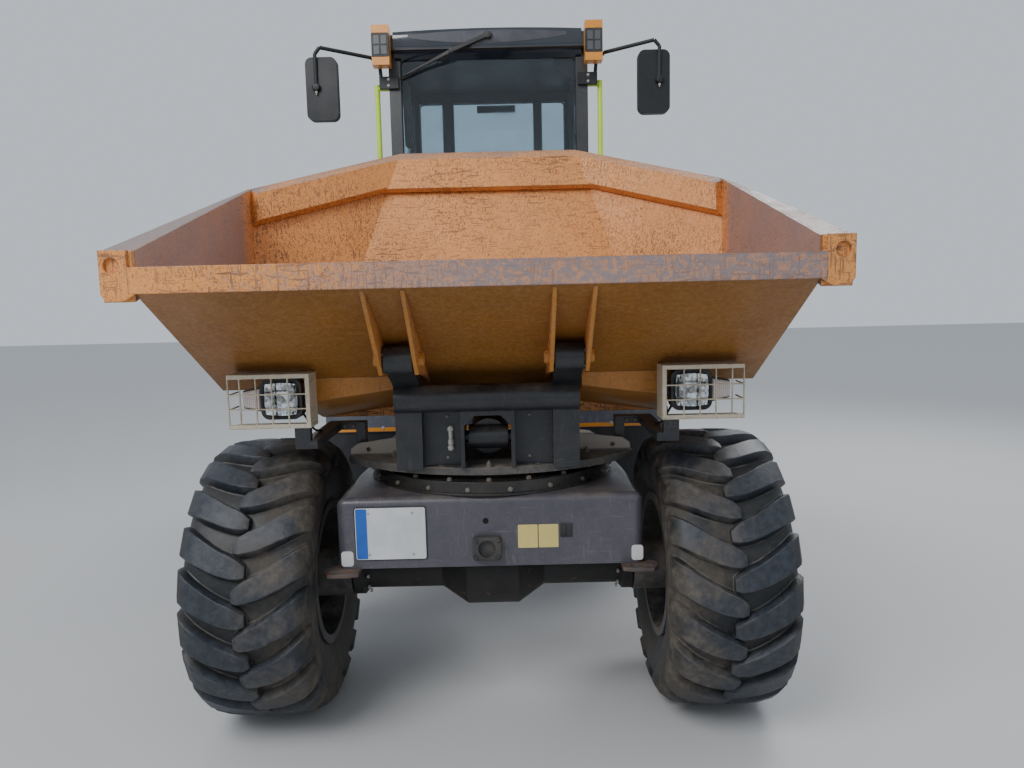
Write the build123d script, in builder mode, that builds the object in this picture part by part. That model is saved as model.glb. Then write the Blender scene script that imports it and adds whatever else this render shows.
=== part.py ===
from build123d import *
import math
import os

os.makedirs("parts", exist_ok=True)

# A site dumper with a cab, hinged in the middle, with a skip that swivels and tips.
# Millimetres. X runs to the right as seen from the front, Y runs rearwards, Z up.

# Running gear
wheelbase = 2600
front_axle_y = -1520
front_overhang = 830
rear_overhang = 1270
track = 1860
wheel_radius = 585
tyre_width = 500
rim_radius = 286
spindle_radius = 55
running_clearance = 0.05
seat_clearance = 0.3
moving_clearance = 6

# Front chassis
bumper_y = -1840
bumper_half_width = 610
chassis_low_z = 700
deck_z = 985
deck_rear_y = -760
plate_wall = 12

# Slewing ring and turntable
slew_y = -1300
ring_radius = 538
ring_inner_radius = 430
turntable_low_z = 1060
turntable_plate = 30
ear_y = -1500

# Skip
lip_band = 12
skip_wall = 10
lip_low_z = 1800
lip_height = 85
lip_half_width = 1105
side_front_z = 1937
floor_z = 1400
floor_front_y = -1600
floor_rear_y = -985
rear_corner_y = -1010
rear_corner_z = 2305
rear_top_y = -660
rear_top_z = 2518
lip_inner_half_width = 1090
rear_corner_half_width = 1140
floor_half_width = 1110
rear_half_width = 455
floor_corner_half_width = 830
rim_depth = 45
rim_height = 155

# Tipping pivot and ram
tip_y = -2000
tip_drop = 72
tip_pin_radius = 25
tip_eye_radius = 52
tower_inner_x = 258
tower_outer_x = 362
rib_thickness = 15
ram_base_y = -1700
ram_base_z = 1200
ram_eye_y = -1000
ram_eye_z = 1300
ram_barrel_radius = 75
ram_rod_radius = 35
ram_barrel_length = 595
ram_pin_radius = 25
rest_z = 1180
bearer_low_z = 1240

# Centre pivot and steering
yoke_low_z = 430
yoke_high_z = 920
yoke_plate = 40
yoke_radius = 105
centre_pin_radius = 40
trunnion_radius = 90
trunnion_z = 660
housing_radius = 150
block_half = 110
steer_arm_x = 200
steer_arm_y = 40
steer_z = 640
steer_base_x = 280
steer_base_y = 330

# Rear chassis
rail_half_width = 380
rail_thickness = 80
rail_low_z = 700
rail_high_z = 960
chassis_front_y = 20
weight_top_z = 990
weight_front_y = 2180

# Tanks and deck ahead of the cab
apron_half_width = 1080
tank_rear_y = 430
tank_low_z = 560
tank_top_z = 1020
deck_panel_z = 1050

# Cab
cab_front_y = 25
cab_rear_y = 1060
cab_half_width = 600
cab_low_z = 1110
cab_sill_z = 1760
cab_top_z = 3230
cab_wall = 40
cab_post = 70
roof_top_z = 3330
glass_thickness = 6

# Bonnet
bonnet_front_y = 1085
bonnet_rear_y = 2225
bonnet_half_width = 560
bonnet_low_z = 1000
bonnet_top_z = 1960
bonnet_wall = 8

# Places that follow from the dimensions above
axle_z = wheel_radius
rear_axle_y = front_axle_y + wheelbase
pivot_y = (front_axle_y + rear_axle_y) / 2
rear_y = rear_axle_y + rear_overhang
turntable_z = turntable_low_z + turntable_plate
lip_y = front_axle_y - front_overhang + lip_band
slope_run = floor_front_y - lip_y
slope_rise = lip_low_z - floor_z
tip_z = floor_z + (floor_front_y - tip_y) * slope_rise / slope_run - tip_drop
weight_rear_y = rear_y - 25


def block(low, high, mode=Mode.ADD):
    """A rectangular piece between two opposite corners."""
    size = [abs(high[i] - low[i]) for i in range(3)]
    middle = [(high[i] + low[i]) / 2 for i in range(3)]
    with Locations(tuple(middle)):
        Box(*size, mode=mode)


def side_plate(outline, x_low, x_high, mode=Mode.ADD):
    """A plate whose outline is given in Y and Z, between two places in X."""
    with BuildSketch(Plane.YZ.offset(min(x_low, x_high))) as sketch:
        with BuildLine():
            Polyline(*outline, close=True)
        make_face()
    extrude(sketch.sketch, amount=abs(x_high - x_low), mode=mode)


def front_plate(outline, y_front, thickness, mode=Mode.ADD):
    """A plate whose outline is given in X and Z, from its front face rearwards."""
    with BuildSketch(Plane.XZ.offset(-y_front)) as sketch:
        with BuildLine():
            Polyline(*outline, close=True)
        make_face()
    extrude(sketch.sketch, amount=-thickness, mode=mode)


def plan_plate(outline, z_low, z_high, mode=Mode.ADD):
    """A plate whose outline is given in X and Y, between two heights."""
    with BuildSketch(Plane.XY.offset(z_low)) as sketch:
        with BuildLine():
            Polyline(*outline, close=True)
        make_face()
    extrude(sketch.sketch, amount=z_high - z_low, mode=mode)


def rod_between(start, end, radius, mode=Mode.ADD):
    """A round bar from one point to another."""
    first = Vector(*start)
    last = Vector(*end)
    with BuildSketch(Plane(origin=first, z_dir=last - first)) as sketch:
        Circle(radius)
    extrude(sketch.sketch, amount=(last - first).length, mode=mode)


def symmetric(points):
    """An outline in X and Y from its right half, closed by its mirror image."""
    return points + [(-x, y) for x, y in reversed(points)]


def save(builder, label):
    """Label one finished piece and write it to its own file."""
    builder.part.label = label
    export_step(builder.part, f"parts/{label}.step")


# Tyre with flat-sided chevron lugs, on its own centre with its axis along X
tyre_sides = 28
lug_count = 13
lug_height = 40
half_tyre = tyre_width / 2
carcass_radius = wheel_radius - lug_height
bead_x = half_tyre - 35
side_x = half_tyre - 4
bore_radius = rim_radius + seat_clearance
dish_radius = carcass_radius - 100
lug_corners = [
    # place in X, place along the tread
    (-18, -60),
    (70, -60),
    (half_tyre - 2, 2),
    (half_tyre - 2, 62),
    (20, -6),
]
with BuildPart() as lug:
    with BuildSketch(Plane.XY.offset(carcass_radius - 70)):
        with BuildLine():
            Polyline(*lug_corners, close=True)
        make_face()
    extrude(amount=lug_height + 70)
    shoulder = Plane(origin=(half_tyre - 45, 0, wheel_radius - 4), x_dir=(0, 1, 0), z_dir=(57, 0, 45))
    split(bisect_by=shoulder, keep=Keep.BOTTOM)
with BuildPart() as tyre:
    with BuildSketch(Plane.YZ.offset(-side_x)) as tread:
        RegularPolygon(carcass_radius - 18, tyre_sides)
        RegularPolygon(bore_radius, tyre_sides, major_radius=False, mode=Mode.SUBTRACT)
    extrude(tread.sketch, amount=2 * side_x)
    for end in (0, -1):
        side_face = faces().sort_by(Axis.X)[end]
        chamfer(side_face.outer_wire().edges(), length=72, length2=36, reference=side_face)
        side_face = faces().sort_by(Axis.X)[end]
        mouth = side_face.inner_wires()[0].edges()
        chamfer(mouth, length=dish_radius - bore_radius, length2=side_x - bead_x + 10, reference=side_face)
    left_lugs = [lug.part.rotate(Axis.X, 360 / lug_count * index) for index in range(lug_count)]
    right_lug = lug.part.mirror(Plane.YZ)
    right_lugs = [right_lug.rotate(Axis.X, 360 / lug_count * (index + 0.5)) for index in range(lug_count)]
    add(left_lugs + right_lugs)

# Rim, disc and hub of a wheel, outboard side at +X
hub_radius = 110
hub_inner_x = 606 - track / 2
hand_holes = 8
hand_hole_radius = 24
with BuildPart() as rim:
    with BuildSketch(Plane.XY):
        with BuildLine():
            Polyline(
                (-half_tyre + 25, rim_radius + 22),
                (-bead_x, rim_radius + 22),
                (-bead_x, rim_radius),
                (bead_x, rim_radius),
                (bead_x, rim_radius + 22),
                (half_tyre - 25, rim_radius + 22),
                (half_tyre - 25, rim_radius - 12),
                (72, rim_radius - 12),
                (40, hub_radius + 40),
                (40, hub_radius),
                (125, hub_radius - 15),
                (125, 0),
                (20, 0),
                (20, spindle_radius + running_clearance),
                (hub_inner_x, spindle_radius + running_clearance),
                (hub_inner_x, hub_radius),
                (22, hub_radius),
                (22, hub_radius + 40),
                (54, rim_radius - 12),
                (-half_tyre + 25, rim_radius - 12),
                close=True,
            )
        make_face()
    revolve(axis=Axis.X)
    with BuildSketch(Plane.YZ) as holes:
        with PolarLocations((rim_radius + hub_radius) / 2, hand_holes):
            RegularPolygon(hand_hole_radius, 8)
    extrude(holes.sketch, amount=half_tyre, mode=Mode.SUBTRACT)

# Wheels at the four corners
wheels = [
    # label, side in X, axle in Y
    ("front_left", 1, front_axle_y),
    ("front_right", -1, front_axle_y),
    ("rear_left", 1, rear_axle_y),
    ("rear_right", -1, rear_axle_y),
]
for label, side, axle_y in wheels:
    with BuildPart() as wheel_tyre:
        add(tyre.part.moved(Location((side * track / 2, axle_y, axle_z))))
    save(wheel_tyre, "tyre_" + label)
    with BuildPart() as wheel_rim:
        add(rim.part.moved(Location((side * track / 2, axle_y, axle_z), (0, 0, 0 if side > 0 else 180))))
    save(wheel_rim, "rim_" + label)


# Axles, with the differential housing in the middle
axle_flange_x = 600
axle_flange_radius = 105
axle_tube_radius = 80
differential_radius = 155
axle_pad_x = 340
spindle_end_x = track / 2 + 14
axles = [
    # label, axle in Y, underside of the chassis that it is bolted to
    ("front_axle", front_axle_y, chassis_low_z),
    ("rear_axle", rear_axle_y, rail_low_z),
]
for label, axle_y, pad_top in axles:
    with BuildPart() as axle:
        with BuildSketch(Plane(origin=(0, axle_y, axle_z), x_dir=(1, 0, 0), z_dir=(0, 0, 1))):
            with BuildLine():
                Polyline(
                    (-spindle_end_x, 0),
                    (-spindle_end_x, spindle_radius),
                    (-axle_flange_x, spindle_radius),
                    (-axle_flange_x, axle_flange_radius),
                    (-axle_flange_x + 40, axle_flange_radius),
                    (-axle_flange_x + 60, axle_tube_radius),
                    (-220, axle_tube_radius),
                    (-110, differential_radius),
                    (110, differential_radius),
                    (220, axle_tube_radius),
                    (axle_flange_x - 60, axle_tube_radius),
                    (axle_flange_x - 40, axle_flange_radius),
                    (axle_flange_x, axle_flange_radius),
                    (axle_flange_x, spindle_radius),
                    (spindle_end_x, spindle_radius),
                    (spindle_end_x, 0),
                    close=True,
                )
            make_face()
        revolve(axis=Axis(origin=(0, axle_y, axle_z), direction=(1, 0, 0)))
        for side in (1, -1):
            block((side * axle_pad_x - 39, axle_y - 70, axle_z),
                  (side * axle_pad_x + 39, axle_y + 70, pad_top))
    save(axle, label)


# Front chassis: a bent box with a tapering deck, open below, and the pivot housing behind it
deck_waist_half_width = 575
deck_waist_y = -1250
deck_tail_half_width = 330
with BuildPart() as front_chassis:
    deck = symmetric([
        (bumper_half_width, bumper_y),
        (bumper_half_width, bumper_y + 280),
        (deck_waist_half_width, deck_waist_y),
        (deck_tail_half_width, deck_rear_y),
    ])
    plan_plate(deck, chassis_low_z, deck_z)
    fillet(front_chassis.edges().filter_by(Axis.X).group_by(Axis.Y)[0].sort_by(Axis.Z)[-1], 30)
    fillet(front_chassis.edges().group_by(Axis.Y)[0].filter_by(Axis.Z), 40)
    pocket = symmetric([
        (bumper_half_width - 20, bumper_y + 20),
        (bumper_half_width - 20, bumper_y + 275),
        (deck_waist_half_width - 20, deck_waist_y - 5),
        (deck_tail_half_width - 20, deck_rear_y - plate_wall),
    ])
    plan_plate(pocket, chassis_low_z - 1, deck_z - plate_wall, mode=Mode.SUBTRACT)
    for side in (1, -1):
        block((side * axle_pad_x - 50, bumper_y + 20, chassis_low_z),
              (side * axle_pad_x + 50, -900, chassis_low_z + 60))
    block((-250, deck_rear_y - 25, 480), (250, deck_rear_y, deck_z))
    for side in (1, -1):
        side_plate([(deck_rear_y, 900), (-500, 780), (-500, 540), (deck_rear_y, 490)],
                   side * housing_radius - 10, side * housing_radius + 10)
    rod_between((0, deck_rear_y - 25, trunnion_z), (0, pivot_y - block_half - moving_clearance, trunnion_z),
                housing_radius)
    rod_between((0, deck_rear_y - 30, trunnion_z), (0, pivot_y, trunnion_z),
                trunnion_radius + running_clearance, mode=Mode.SUBTRACT)
save(front_chassis, "front_chassis")


# Lashing eyes under the front corners
eye_thickness = 15
eye_x = 595
with BuildPart() as lash_eyes:
    with BuildSketch(Plane.XY.offset(chassis_low_z - eye_thickness)):
        with BuildLine():
            Polyline((eye_x - 75, bumper_y + 60), (eye_x - 75, bumper_y - 50), (eye_x - 35, bumper_y - 62),
                     (eye_x + 45, bumper_y - 62), (eye_x + 67, bumper_y - 30), (eye_x + 67, bumper_y + 10),
                     (eye_x + 15, bumper_y + 60), close=True)
        make_face()
        with Locations((eye_x, bumper_y - 34)):
            SlotOverall(90, 30, mode=Mode.SUBTRACT)
    extrude(amount=eye_thickness)
    mirror(about=Plane.YZ)
save(lash_eyes, "lash_eyes")


# Round tow socket on the bumper, in its square housing
with BuildPart() as tow_socket:
    block((-70, bumper_y - 30, 732), (44, bumper_y, 826))
    fillet(tow_socket.edges().filter_by(Axis.Y), 18)
    with BuildSketch(Plane.XZ.offset(30 - bumper_y)) as mouth:
        with Locations((-13, 779)):
            Circle(34)
    extrude(mouth.sketch, amount=-18, mode=Mode.SUBTRACT)
save(tow_socket, "tow_socket")


# Slewing ring, outer race on the chassis
ring_height = 55
with BuildPart() as slew_ring:
    with BuildSketch(Plane.XY.offset(deck_z)):
        with Locations((0, slew_y)):
            Circle(ring_radius)
            Circle(ring_inner_radius, mode=Mode.SUBTRACT)
    extrude(amount=ring_height)
save(slew_ring, "slew_ring")


# Turntable plate with its inner race and two upright lifting ears
ear_tip_x = 619
ear_thickness = 14
ear_hole_x = 531
ear_hole_radius = 10
ear_outline = [
    # place in X, height over the plate
    (tower_outer_x, 0),
    (tower_outer_x, 75),
    (410, 75),
    (575, 54),
    (608, 30),
    (610, 0),
]
with BuildPart() as slew_plate:
    with BuildSketch(Plane.XY.offset(turntable_low_z)):
        with BuildLine():
            nose = ThreePointArc((-ear_tip_x, ear_y), (0, bumper_y + 40), (ear_tip_x, ear_y))
            Polyline(nose @ 1, (ring_radius, slew_y), (480, -1010), (350, slew_y + 400), (-350, slew_y + 400),
                     (-480, -1010), (-ring_radius, slew_y), nose @ 0)
        make_face()
    extrude(amount=turntable_plate)
    with BuildSketch(Plane.XY.offset(deck_z + 5)):
        with Locations((0, slew_y)):
            Circle(ring_inner_radius - running_clearance)
            Circle(ring_inner_radius - 90, mode=Mode.SUBTRACT)
    extrude(amount=turntable_low_z - deck_z - 5)
    for side in (1, -1):
        front_plate([(side * x, turntable_z + height) for x, height in ear_outline], ear_y, ear_thickness)
        rod_between((side * ear_hole_x, ear_y - 1, turntable_z + 25),
                    (side * ear_hole_x, ear_y + ear_thickness + 1, turntable_z + 25), ear_hole_radius,
                    mode=Mode.SUBTRACT)
save(slew_plate, "slew_plate")


# Turntable frame: two towers that carry the skip, a cross tube and recessed plates round the ram
cross_tube_y = -1800
cross_tube_z = 1372
cross_tube_radius = 55
tower_front_y = -1815
tower_rear_y = -1020
recess_y = -1745
ram_gap = 92
with BuildPart() as turntable_frame:
    for side in (1, -1):
        side_plate([(tower_front_y, turntable_z), (tower_front_y, cross_tube_z + 48),
                    (tip_y - 45, tip_z - 20),
                    (tip_y - 20, tip_z + 40), (tip_y + 40, tip_z + 20), (cross_tube_y, cross_tube_z + 68),
                    (-1650, 1330), (-1400, rest_z), (tower_rear_y, rest_z), (tower_rear_y, turntable_z)],
                   side * tower_inner_x, side * tower_outer_x)
        rod_between((side * tower_inner_x, tip_y, tip_z), (side * tower_outer_x, tip_y, tip_z),
                    tip_eye_radius)
        rod_between((side * tower_inner_x, tip_y, tip_z), (side * tower_outer_x, tip_y, tip_z),
                    tip_pin_radius + running_clearance, mode=Mode.SUBTRACT)
        side_plate([(tower_front_y, turntable_z), (tower_front_y, 1340), (-1700, 1300), (-1640, 1200),
                    (-1560, turntable_z)], side * ram_gap, side * (ram_gap + 15))
        block((side * ram_gap, recess_y, turntable_z), (side * tower_inner_x, recess_y + plate_wall, 1330))
        front_plate([(side * ram_gap, 1302), (side * (ram_gap - 40), 1302), (side * ram_gap, 1262)],
                    tower_front_y, plate_wall)
    block((-ram_gap, tower_front_y, 1302), (ram_gap, tower_front_y + plate_wall, cross_tube_z))
    rod_between((-tower_outer_x, cross_tube_y, cross_tube_z), (tower_outer_x, cross_tube_y, cross_tube_z),
                cross_tube_radius)
    rod_between((-ram_gap - 15, ram_base_y, ram_base_z), (ram_gap + 15, ram_base_y, ram_base_z),
                ram_pin_radius)
save(turntable_frame, "turntable_frame")


# Rest pads for the skip on the back of the turntable
with BuildPart() as rest_pads:
    for side in (1, -1):
        block((side * 310 - 45, tower_rear_y - 100, rest_z),
              (side * 310 + 45, tower_rear_y - 10, bearer_low_z))
save(rest_pads, "skip_rest_pads")


# Skip shell: folded sheets, open at the top and over the lip
def plane_through(a, b, c):
    """The plane through three points."""
    first = Vector(*a)
    along = Vector(*b) - first
    return Plane(origin=first, x_dir=along, z_dir=along.cross(Vector(*c) - first))


def slope_z(y):
    """Height of the skip's sloping underside at a place in Y."""
    return floor_z + (floor_front_y - y) * slope_rise / slope_run


def side_wall(side):
    """The plane of one leaning side wall's outer face."""
    return plane_through((side * floor_half_width, floor_front_y, floor_z),
                         (side * lip_inner_half_width, lip_y, lip_low_z),
                         (side * rear_corner_half_width, rear_corner_y, rear_corner_z))


def corner_wall(side):
    """The plane of one rear corner facet's outer face."""
    return plane_through((side * rear_corner_half_width, rear_corner_y, rear_corner_z),
                         (side * rear_half_width, rear_top_y, rear_top_z),
                         (side * floor_corner_half_width, floor_rear_y, floor_z))


def trim(wall, inset):
    """Keep what lies inside one wall's plane, moved inwards by the inset."""
    inwards = 1 if wall.to_local_coords(Vector(0, slew_y, side_front_z)).Z > 0 else -1
    split(bisect_by=wall.offset(inwards * inset), keep=Keep.TOP if inwards > 0 else Keep.BOTTOM)


sky_z = 3300
rear_lean = (rear_top_y - floor_rear_y) / (rear_top_z - floor_z)
load_outline = [
    (lip_y - 500, slope_z(lip_y - 500)),
    (lip_y - 500, sky_z),
    (floor_rear_y + (sky_z - floor_z) * rear_lean, sky_z),
    (floor_rear_y, floor_z),
    (floor_front_y, floor_z),
]
with BuildPart() as skip_load:
    with BuildSketch(Plane.YZ):
        with BuildLine():
            Polyline(*load_outline, close=True)
        make_face()
        offset(amount=-skip_wall, kind=Kind.INTERSECTION)
    extrude(amount=1700, both=True)
    for side in (1, -1):
        trim(side_wall(side), skip_wall)
        trim(corner_wall(side), skip_wall)
with BuildPart() as skip_shell:
    with BuildSketch(Plane.YZ):
        with BuildLine():
            Polyline((lip_y, lip_low_z), (lip_y, side_front_z), (rear_corner_y, rear_corner_z),
                     (rear_top_y, rear_top_z), (floor_rear_y, floor_z), (floor_front_y, floor_z), close=True)
        make_face()
    extrude(amount=1400, both=True)
    for side in (1, -1):
        trim(side_wall(side), 0)
        trim(corner_wall(side), 0)
    add(skip_load.part, mode=Mode.SUBTRACT)
save(skip_shell, "skip_shell")


# Box rim round the inside of the rear walls, and along the outside of the side walls
top_lean = (rear_top_z - rear_corner_z) / (rear_top_y - rear_corner_y)
rim_front_y = rear_corner_y - 200
rim_hollow_inset = skip_wall + rim_depth
side_rim_ends = [
    # place in Y, outer place in X, lower height, upper height
    (lip_y, 1190, 1775, side_front_z),
    (rear_corner_y, 1150, rear_corner_z - 100, rear_corner_z),
]
with BuildPart() as rim_hollow:
    with BuildSketch(Plane.YZ):
        with BuildLine():
            Polyline(*load_outline, close=True)
        make_face()
        offset(amount=-rim_hollow_inset, kind=Kind.INTERSECTION)
    extrude(amount=1700, both=True)
    for side in (1, -1):
        trim(corner_wall(side), rim_hollow_inset)
with BuildPart() as skip_rim:
    with BuildSketch(Plane.YZ):
        with BuildLine():
            Polyline((rim_front_y, rear_corner_z - 200 * top_lean), (rear_top_y, rear_top_z),
                     (rear_top_y, rear_top_z - rim_height),
                     (rim_front_y, rear_corner_z - 200 * top_lean - rim_height), close=True)
        make_face()
    extrude(amount=1400, both=True)
    add(skip_load.part, mode=Mode.INTERSECT)
    add(rim_hollow.part, mode=Mode.SUBTRACT)
    ledge = [edge for edge in skip_rim.edges() if rim_hollow.part.distance_to(edge @ 0.5) < 1
             and (edge @ 0.5).Z < rear_top_z - rim_height + 5 and edge.length > rim_height]
    chamfer(ledge, length=rim_depth - 7)
    for side in (1, -1):
        ends = []
        for y, outer_x, low_z, high_z in side_rim_ends:
            with BuildSketch(Plane.XZ.offset(-y)) as rim_end:
                with BuildLine():
                    Polyline((side * (outer_x - 115), low_z), (side * outer_x, low_z),
                             (side * outer_x, high_z),
                             (side * (outer_x - 115), high_z), close=True)
                make_face()
            ends.append(rim_end.sketch)
        with BuildPart(mode=Mode.PRIVATE) as side_rim:
            loft(ends, ruled=True)
            wall = side_wall(side)
            outwards = -1 if wall.to_local_coords(Vector(0, slew_y, side_front_z)).Z > 0 else 1
            split(bisect_by=wall, keep=Keep.TOP if outwards > 0 else Keep.BOTTOM)
        add(side_rim.part)
save(skip_rim, "skip_rim")


# Round-holed end plates where the lip meets the side rims
end_hole_x = 1155
end_hole_z = 1890
end_hole_radius = 25
end_plate_outline = [
    # place in X, height
    (lip_half_width, side_front_z + 2),
    (1194, side_front_z + 2),
    (1194, lip_low_z),
    (1176, lip_low_z - 24),
    (1128, lip_low_z - 24),
    (1104, lip_low_z - 14),
    (1086, lip_low_z),
    (lip_half_width, lip_low_z),
]
with BuildPart() as skip_corners:
    for side in (1, -1):
        front_plate([(side * x, z) for x, z in end_plate_outline], lip_y - lip_band, lip_band)
        rod_between((side * end_hole_x, lip_y - lip_band - 1, end_hole_z),
                    (side * end_hole_x, lip_y + 1, end_hole_z),
                    end_hole_radius, mode=Mode.SUBTRACT)
save(skip_corners, "skip_corners")


# Wear band along the lip, with the closed box behind it
lip_box_depth = 150
slope_skin = skip_wall * math.hypot(slope_run, slope_rise) / slope_run
with BuildPart() as skip_lip:
    side_plate([(lip_y, slope_z(lip_y) + slope_skin), (lip_y, lip_low_z + lip_height),
                (lip_y + 20, lip_low_z + lip_height),
                (lip_y + lip_box_depth, slope_z(lip_y + lip_box_depth) + slope_skin)],
               -lip_half_width, lip_half_width)
    for side in (1, -1):
        trim(side_wall(side), skip_wall)
    block((-lip_half_width, lip_y - lip_band, lip_low_z), (lip_half_width, lip_y, lip_low_z + lip_height))
save(skip_lip, "skip_lip")


# Ribs under the skip, in pairs beside the towers
rib_rear_y = floor_front_y - 40
pin_reach = moving_clearance + rib_thickness + 18
with BuildPart() as skip_ribs:
    for side in (1, -1):
        for inner in (tower_inner_x - moving_clearance - rib_thickness, tower_outer_x + moving_clearance):
            side_plate([(lip_y + 10, slope_z(lip_y + 10)), (tip_y - 60, tip_z - 20), (tip_y - 20, tip_z - 55),
                        (tip_y + 30, tip_z - 50), (rib_rear_y - 160, slope_z(rib_rear_y - 160) - 45),
                        (rib_rear_y, slope_z(rib_rear_y))], side * inner, side * (inner + rib_thickness))
        rod_between((side * (tower_inner_x - pin_reach), tip_y, tip_z),
                    (side * (tower_outer_x + pin_reach), tip_y, tip_z), tip_pin_radius)
save(skip_ribs, "skip_ribs")


# Underframe of the skip: box bearers inboard, raked beams outboard and the ram's bracket
bearer_rear_y = floor_rear_y - 5
beam_front_y = floor_front_y - 100
beam_rear_y = -1350
beam_inner_x = tower_outer_x + moving_clearance + rib_thickness
beam_outer_x = 760
beam_drop = 50
bracket_x = 45
with BuildPart() as skip_underframe:
    for side in (1, -1):
        side_plate([(floor_front_y + 10, floor_z), (floor_front_y + 40, 1370), (-1300, bearer_low_z),
                    (bearer_rear_y, bearer_low_z), (bearer_rear_y, floor_z)], side * 200, side * beam_inner_x)
        side_plate([(beam_rear_y, floor_z), (beam_rear_y, bearer_low_z), (bearer_rear_y, bearer_low_z),
                    (bearer_rear_y, floor_z)], side * beam_inner_x, side * beam_outer_x)
        beam_ends = []
        for x, drop in ((beam_inner_x, 0), (beam_outer_x, beam_drop)):
            with BuildSketch(Plane.YZ.offset(side * x)) as beam_end:
                with BuildLine():
                    Polyline((beam_front_y, slope_z(beam_front_y)), (beam_front_y, floor_z - drop),
                             (beam_rear_y, bearer_low_z + beam_drop - drop), (beam_rear_y, floor_z),
                             (floor_front_y, floor_z), close=True)
                make_face()
            beam_ends.append(beam_end.sketch)
        loft(beam_ends, ruled=True)
        side_plate([(ram_eye_y - 70, floor_z), (ram_eye_y - 45, ram_eye_z - 45),
                    (ram_eye_y + 45, ram_eye_z - 45), (ram_eye_y + 15, floor_z)],
                   side * bracket_x, side * (bracket_x + 15))
        rod_between((side * bracket_x, ram_eye_y, ram_eye_z), (side * (bracket_x + 15), ram_eye_y, ram_eye_z),
                    ram_pin_radius, mode=Mode.SUBTRACT)
save(skip_underframe, "skip_underframe")


# Tipping ram
ram_vector = Vector(0, ram_eye_y - ram_base_y, ram_eye_z - ram_base_z)
ram_way = ram_vector.normalized()
ram_half_eye = 80


def on_ram(distance):
    """A point on the tipping ram's axis, from its base pin."""
    return tuple(Vector(0, ram_base_y, ram_base_z) + ram_way * distance)


with BuildPart() as tip_ram_barrel:
    rod_between(on_ram(0), on_ram(ram_barrel_length), ram_barrel_radius)
    rod_between((-ram_half_eye, ram_base_y, ram_base_z), (ram_half_eye, ram_base_y, ram_base_z), 50)
    rod_between((-ram_half_eye - 5, ram_base_y, ram_base_z), (ram_half_eye + 5, ram_base_y, ram_base_z),
                ram_pin_radius + running_clearance, mode=Mode.SUBTRACT)
    rod_between(on_ram(60), on_ram(ram_barrel_length + 5), ram_rod_radius + running_clearance,
                mode=Mode.SUBTRACT)
save(tip_ram_barrel, "tip_ram_barrel")

with BuildPart() as tip_ram_rod:
    rod_between(on_ram(65), on_ram(ram_vector.length), ram_rod_radius)
    rod_between((-35, ram_eye_y, ram_eye_z), (35, ram_eye_y, ram_eye_z), 45)
    rod_between((-40, ram_eye_y, ram_eye_z), (40, ram_eye_y, ram_eye_z), ram_pin_radius, mode=Mode.SUBTRACT)
save(tip_ram_rod, "tip_ram_rod")


# Road lamps in wire guards, on arms from the turntable
cage_inner_x = 675
cage_outer_x = 991
cage_low_z = 1280
cage_high_z = 1490
cage_front_y = -1880
cage_depth = 110
cage_wall = 5
cage_frame = 17
wire = 5
with BuildPart() as lamp_guards:
    for side in (1, -1):
        block((side * cage_inner_x, cage_front_y, cage_low_z),
              (side * cage_outer_x, cage_front_y + cage_depth, cage_high_z))
        block((side * (cage_inner_x + cage_wall), cage_front_y + wire, cage_low_z + cage_wall),
              (side * (cage_outer_x + 1), cage_front_y + cage_depth + 1, cage_high_z - cage_wall),
              mode=Mode.SUBTRACT)
        block((side * (cage_inner_x + cage_frame), cage_front_y - 1, cage_low_z + cage_frame),
              (side * (cage_outer_x + 1), cage_front_y + cage_wall + 1, cage_high_z - cage_frame),
              mode=Mode.SUBTRACT)
        for x in (756, 818, 879, 941, cage_outer_x - wire):
            block((side * x, cage_front_y, cage_low_z), (side * (x + wire), cage_front_y + wire, cage_high_z))
        for z in (1353, 1410):
            block((side * (cage_inner_x + cage_wall), cage_front_y, z),
                  (side * cage_outer_x, cage_front_y + wire, z + wire))
            block((side * (cage_outer_x - wire), cage_front_y, z),
                  (side * cage_outer_x, cage_front_y + cage_depth, z + wire))
save(lamp_guards, "lamp_guards")

arm_low_z = 1198
arm_high_z = 1230
with BuildPart() as lamp_arms:
    for side in (1, -1):
        block((side * 550, -1460, turntable_z), (side * 590, -1400, arm_high_z))
        block((side * 550, -1460, arm_low_z), (side * 715, -1400, arm_high_z))
        block((side * 655, cage_front_y, arm_low_z), (side * 715, -1400, arm_high_z))
        block((side * 680, cage_front_y, arm_low_z), (side * 740, cage_front_y + 30, cage_low_z))
save(lamp_arms, "lamp_arms")

lamp_x = 795
lamp_z = 1390
lamp_half = 80
with BuildPart() as road_lamps:
    for side in (1, -1):
        with BuildSketch(Plane.XZ.offset(-cage_front_y - 34)) as lamp_front:
            with Locations((side * lamp_x, lamp_z)):
                RectangleRounded(2 * lamp_half, 2 * lamp_half, 34)
        extrude(lamp_front.sketch, amount=-58)
        with BuildSketch(Plane.XZ.offset(-cage_front_y - 44)) as indicator_arm:
            with BuildLine():
                Polyline((side * lamp_x, lamp_z - 66), (side * 945, lamp_z - 34), (side * 945, lamp_z + 34),
                         (side * lamp_x, lamp_z + 66), close=True)
            make_face()
        extrude(indicator_arm.sketch, amount=-44)
        block((side * (cage_inner_x + cage_wall), cage_front_y + 60, lamp_z - 25),
              (side * lamp_x, cage_front_y + 92, lamp_z + 25))
save(road_lamps, "road_lamps")

with BuildPart() as lamp_lenses:
    for side in (1, -1):
        with BuildSketch(Plane.XZ.offset(-cage_front_y - 26)) as lens:
            with Locations((side * lamp_x, lamp_z)):
                RectangleRounded(138, 138, 40)
        extrude(lens.sketch, amount=-8)
        block((side * 882, cage_front_y + 36, lamp_z - 30), (side * 940, cage_front_y + 44, lamp_z + 30))
save(lamp_lenses, "lamp_lenses")


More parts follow.
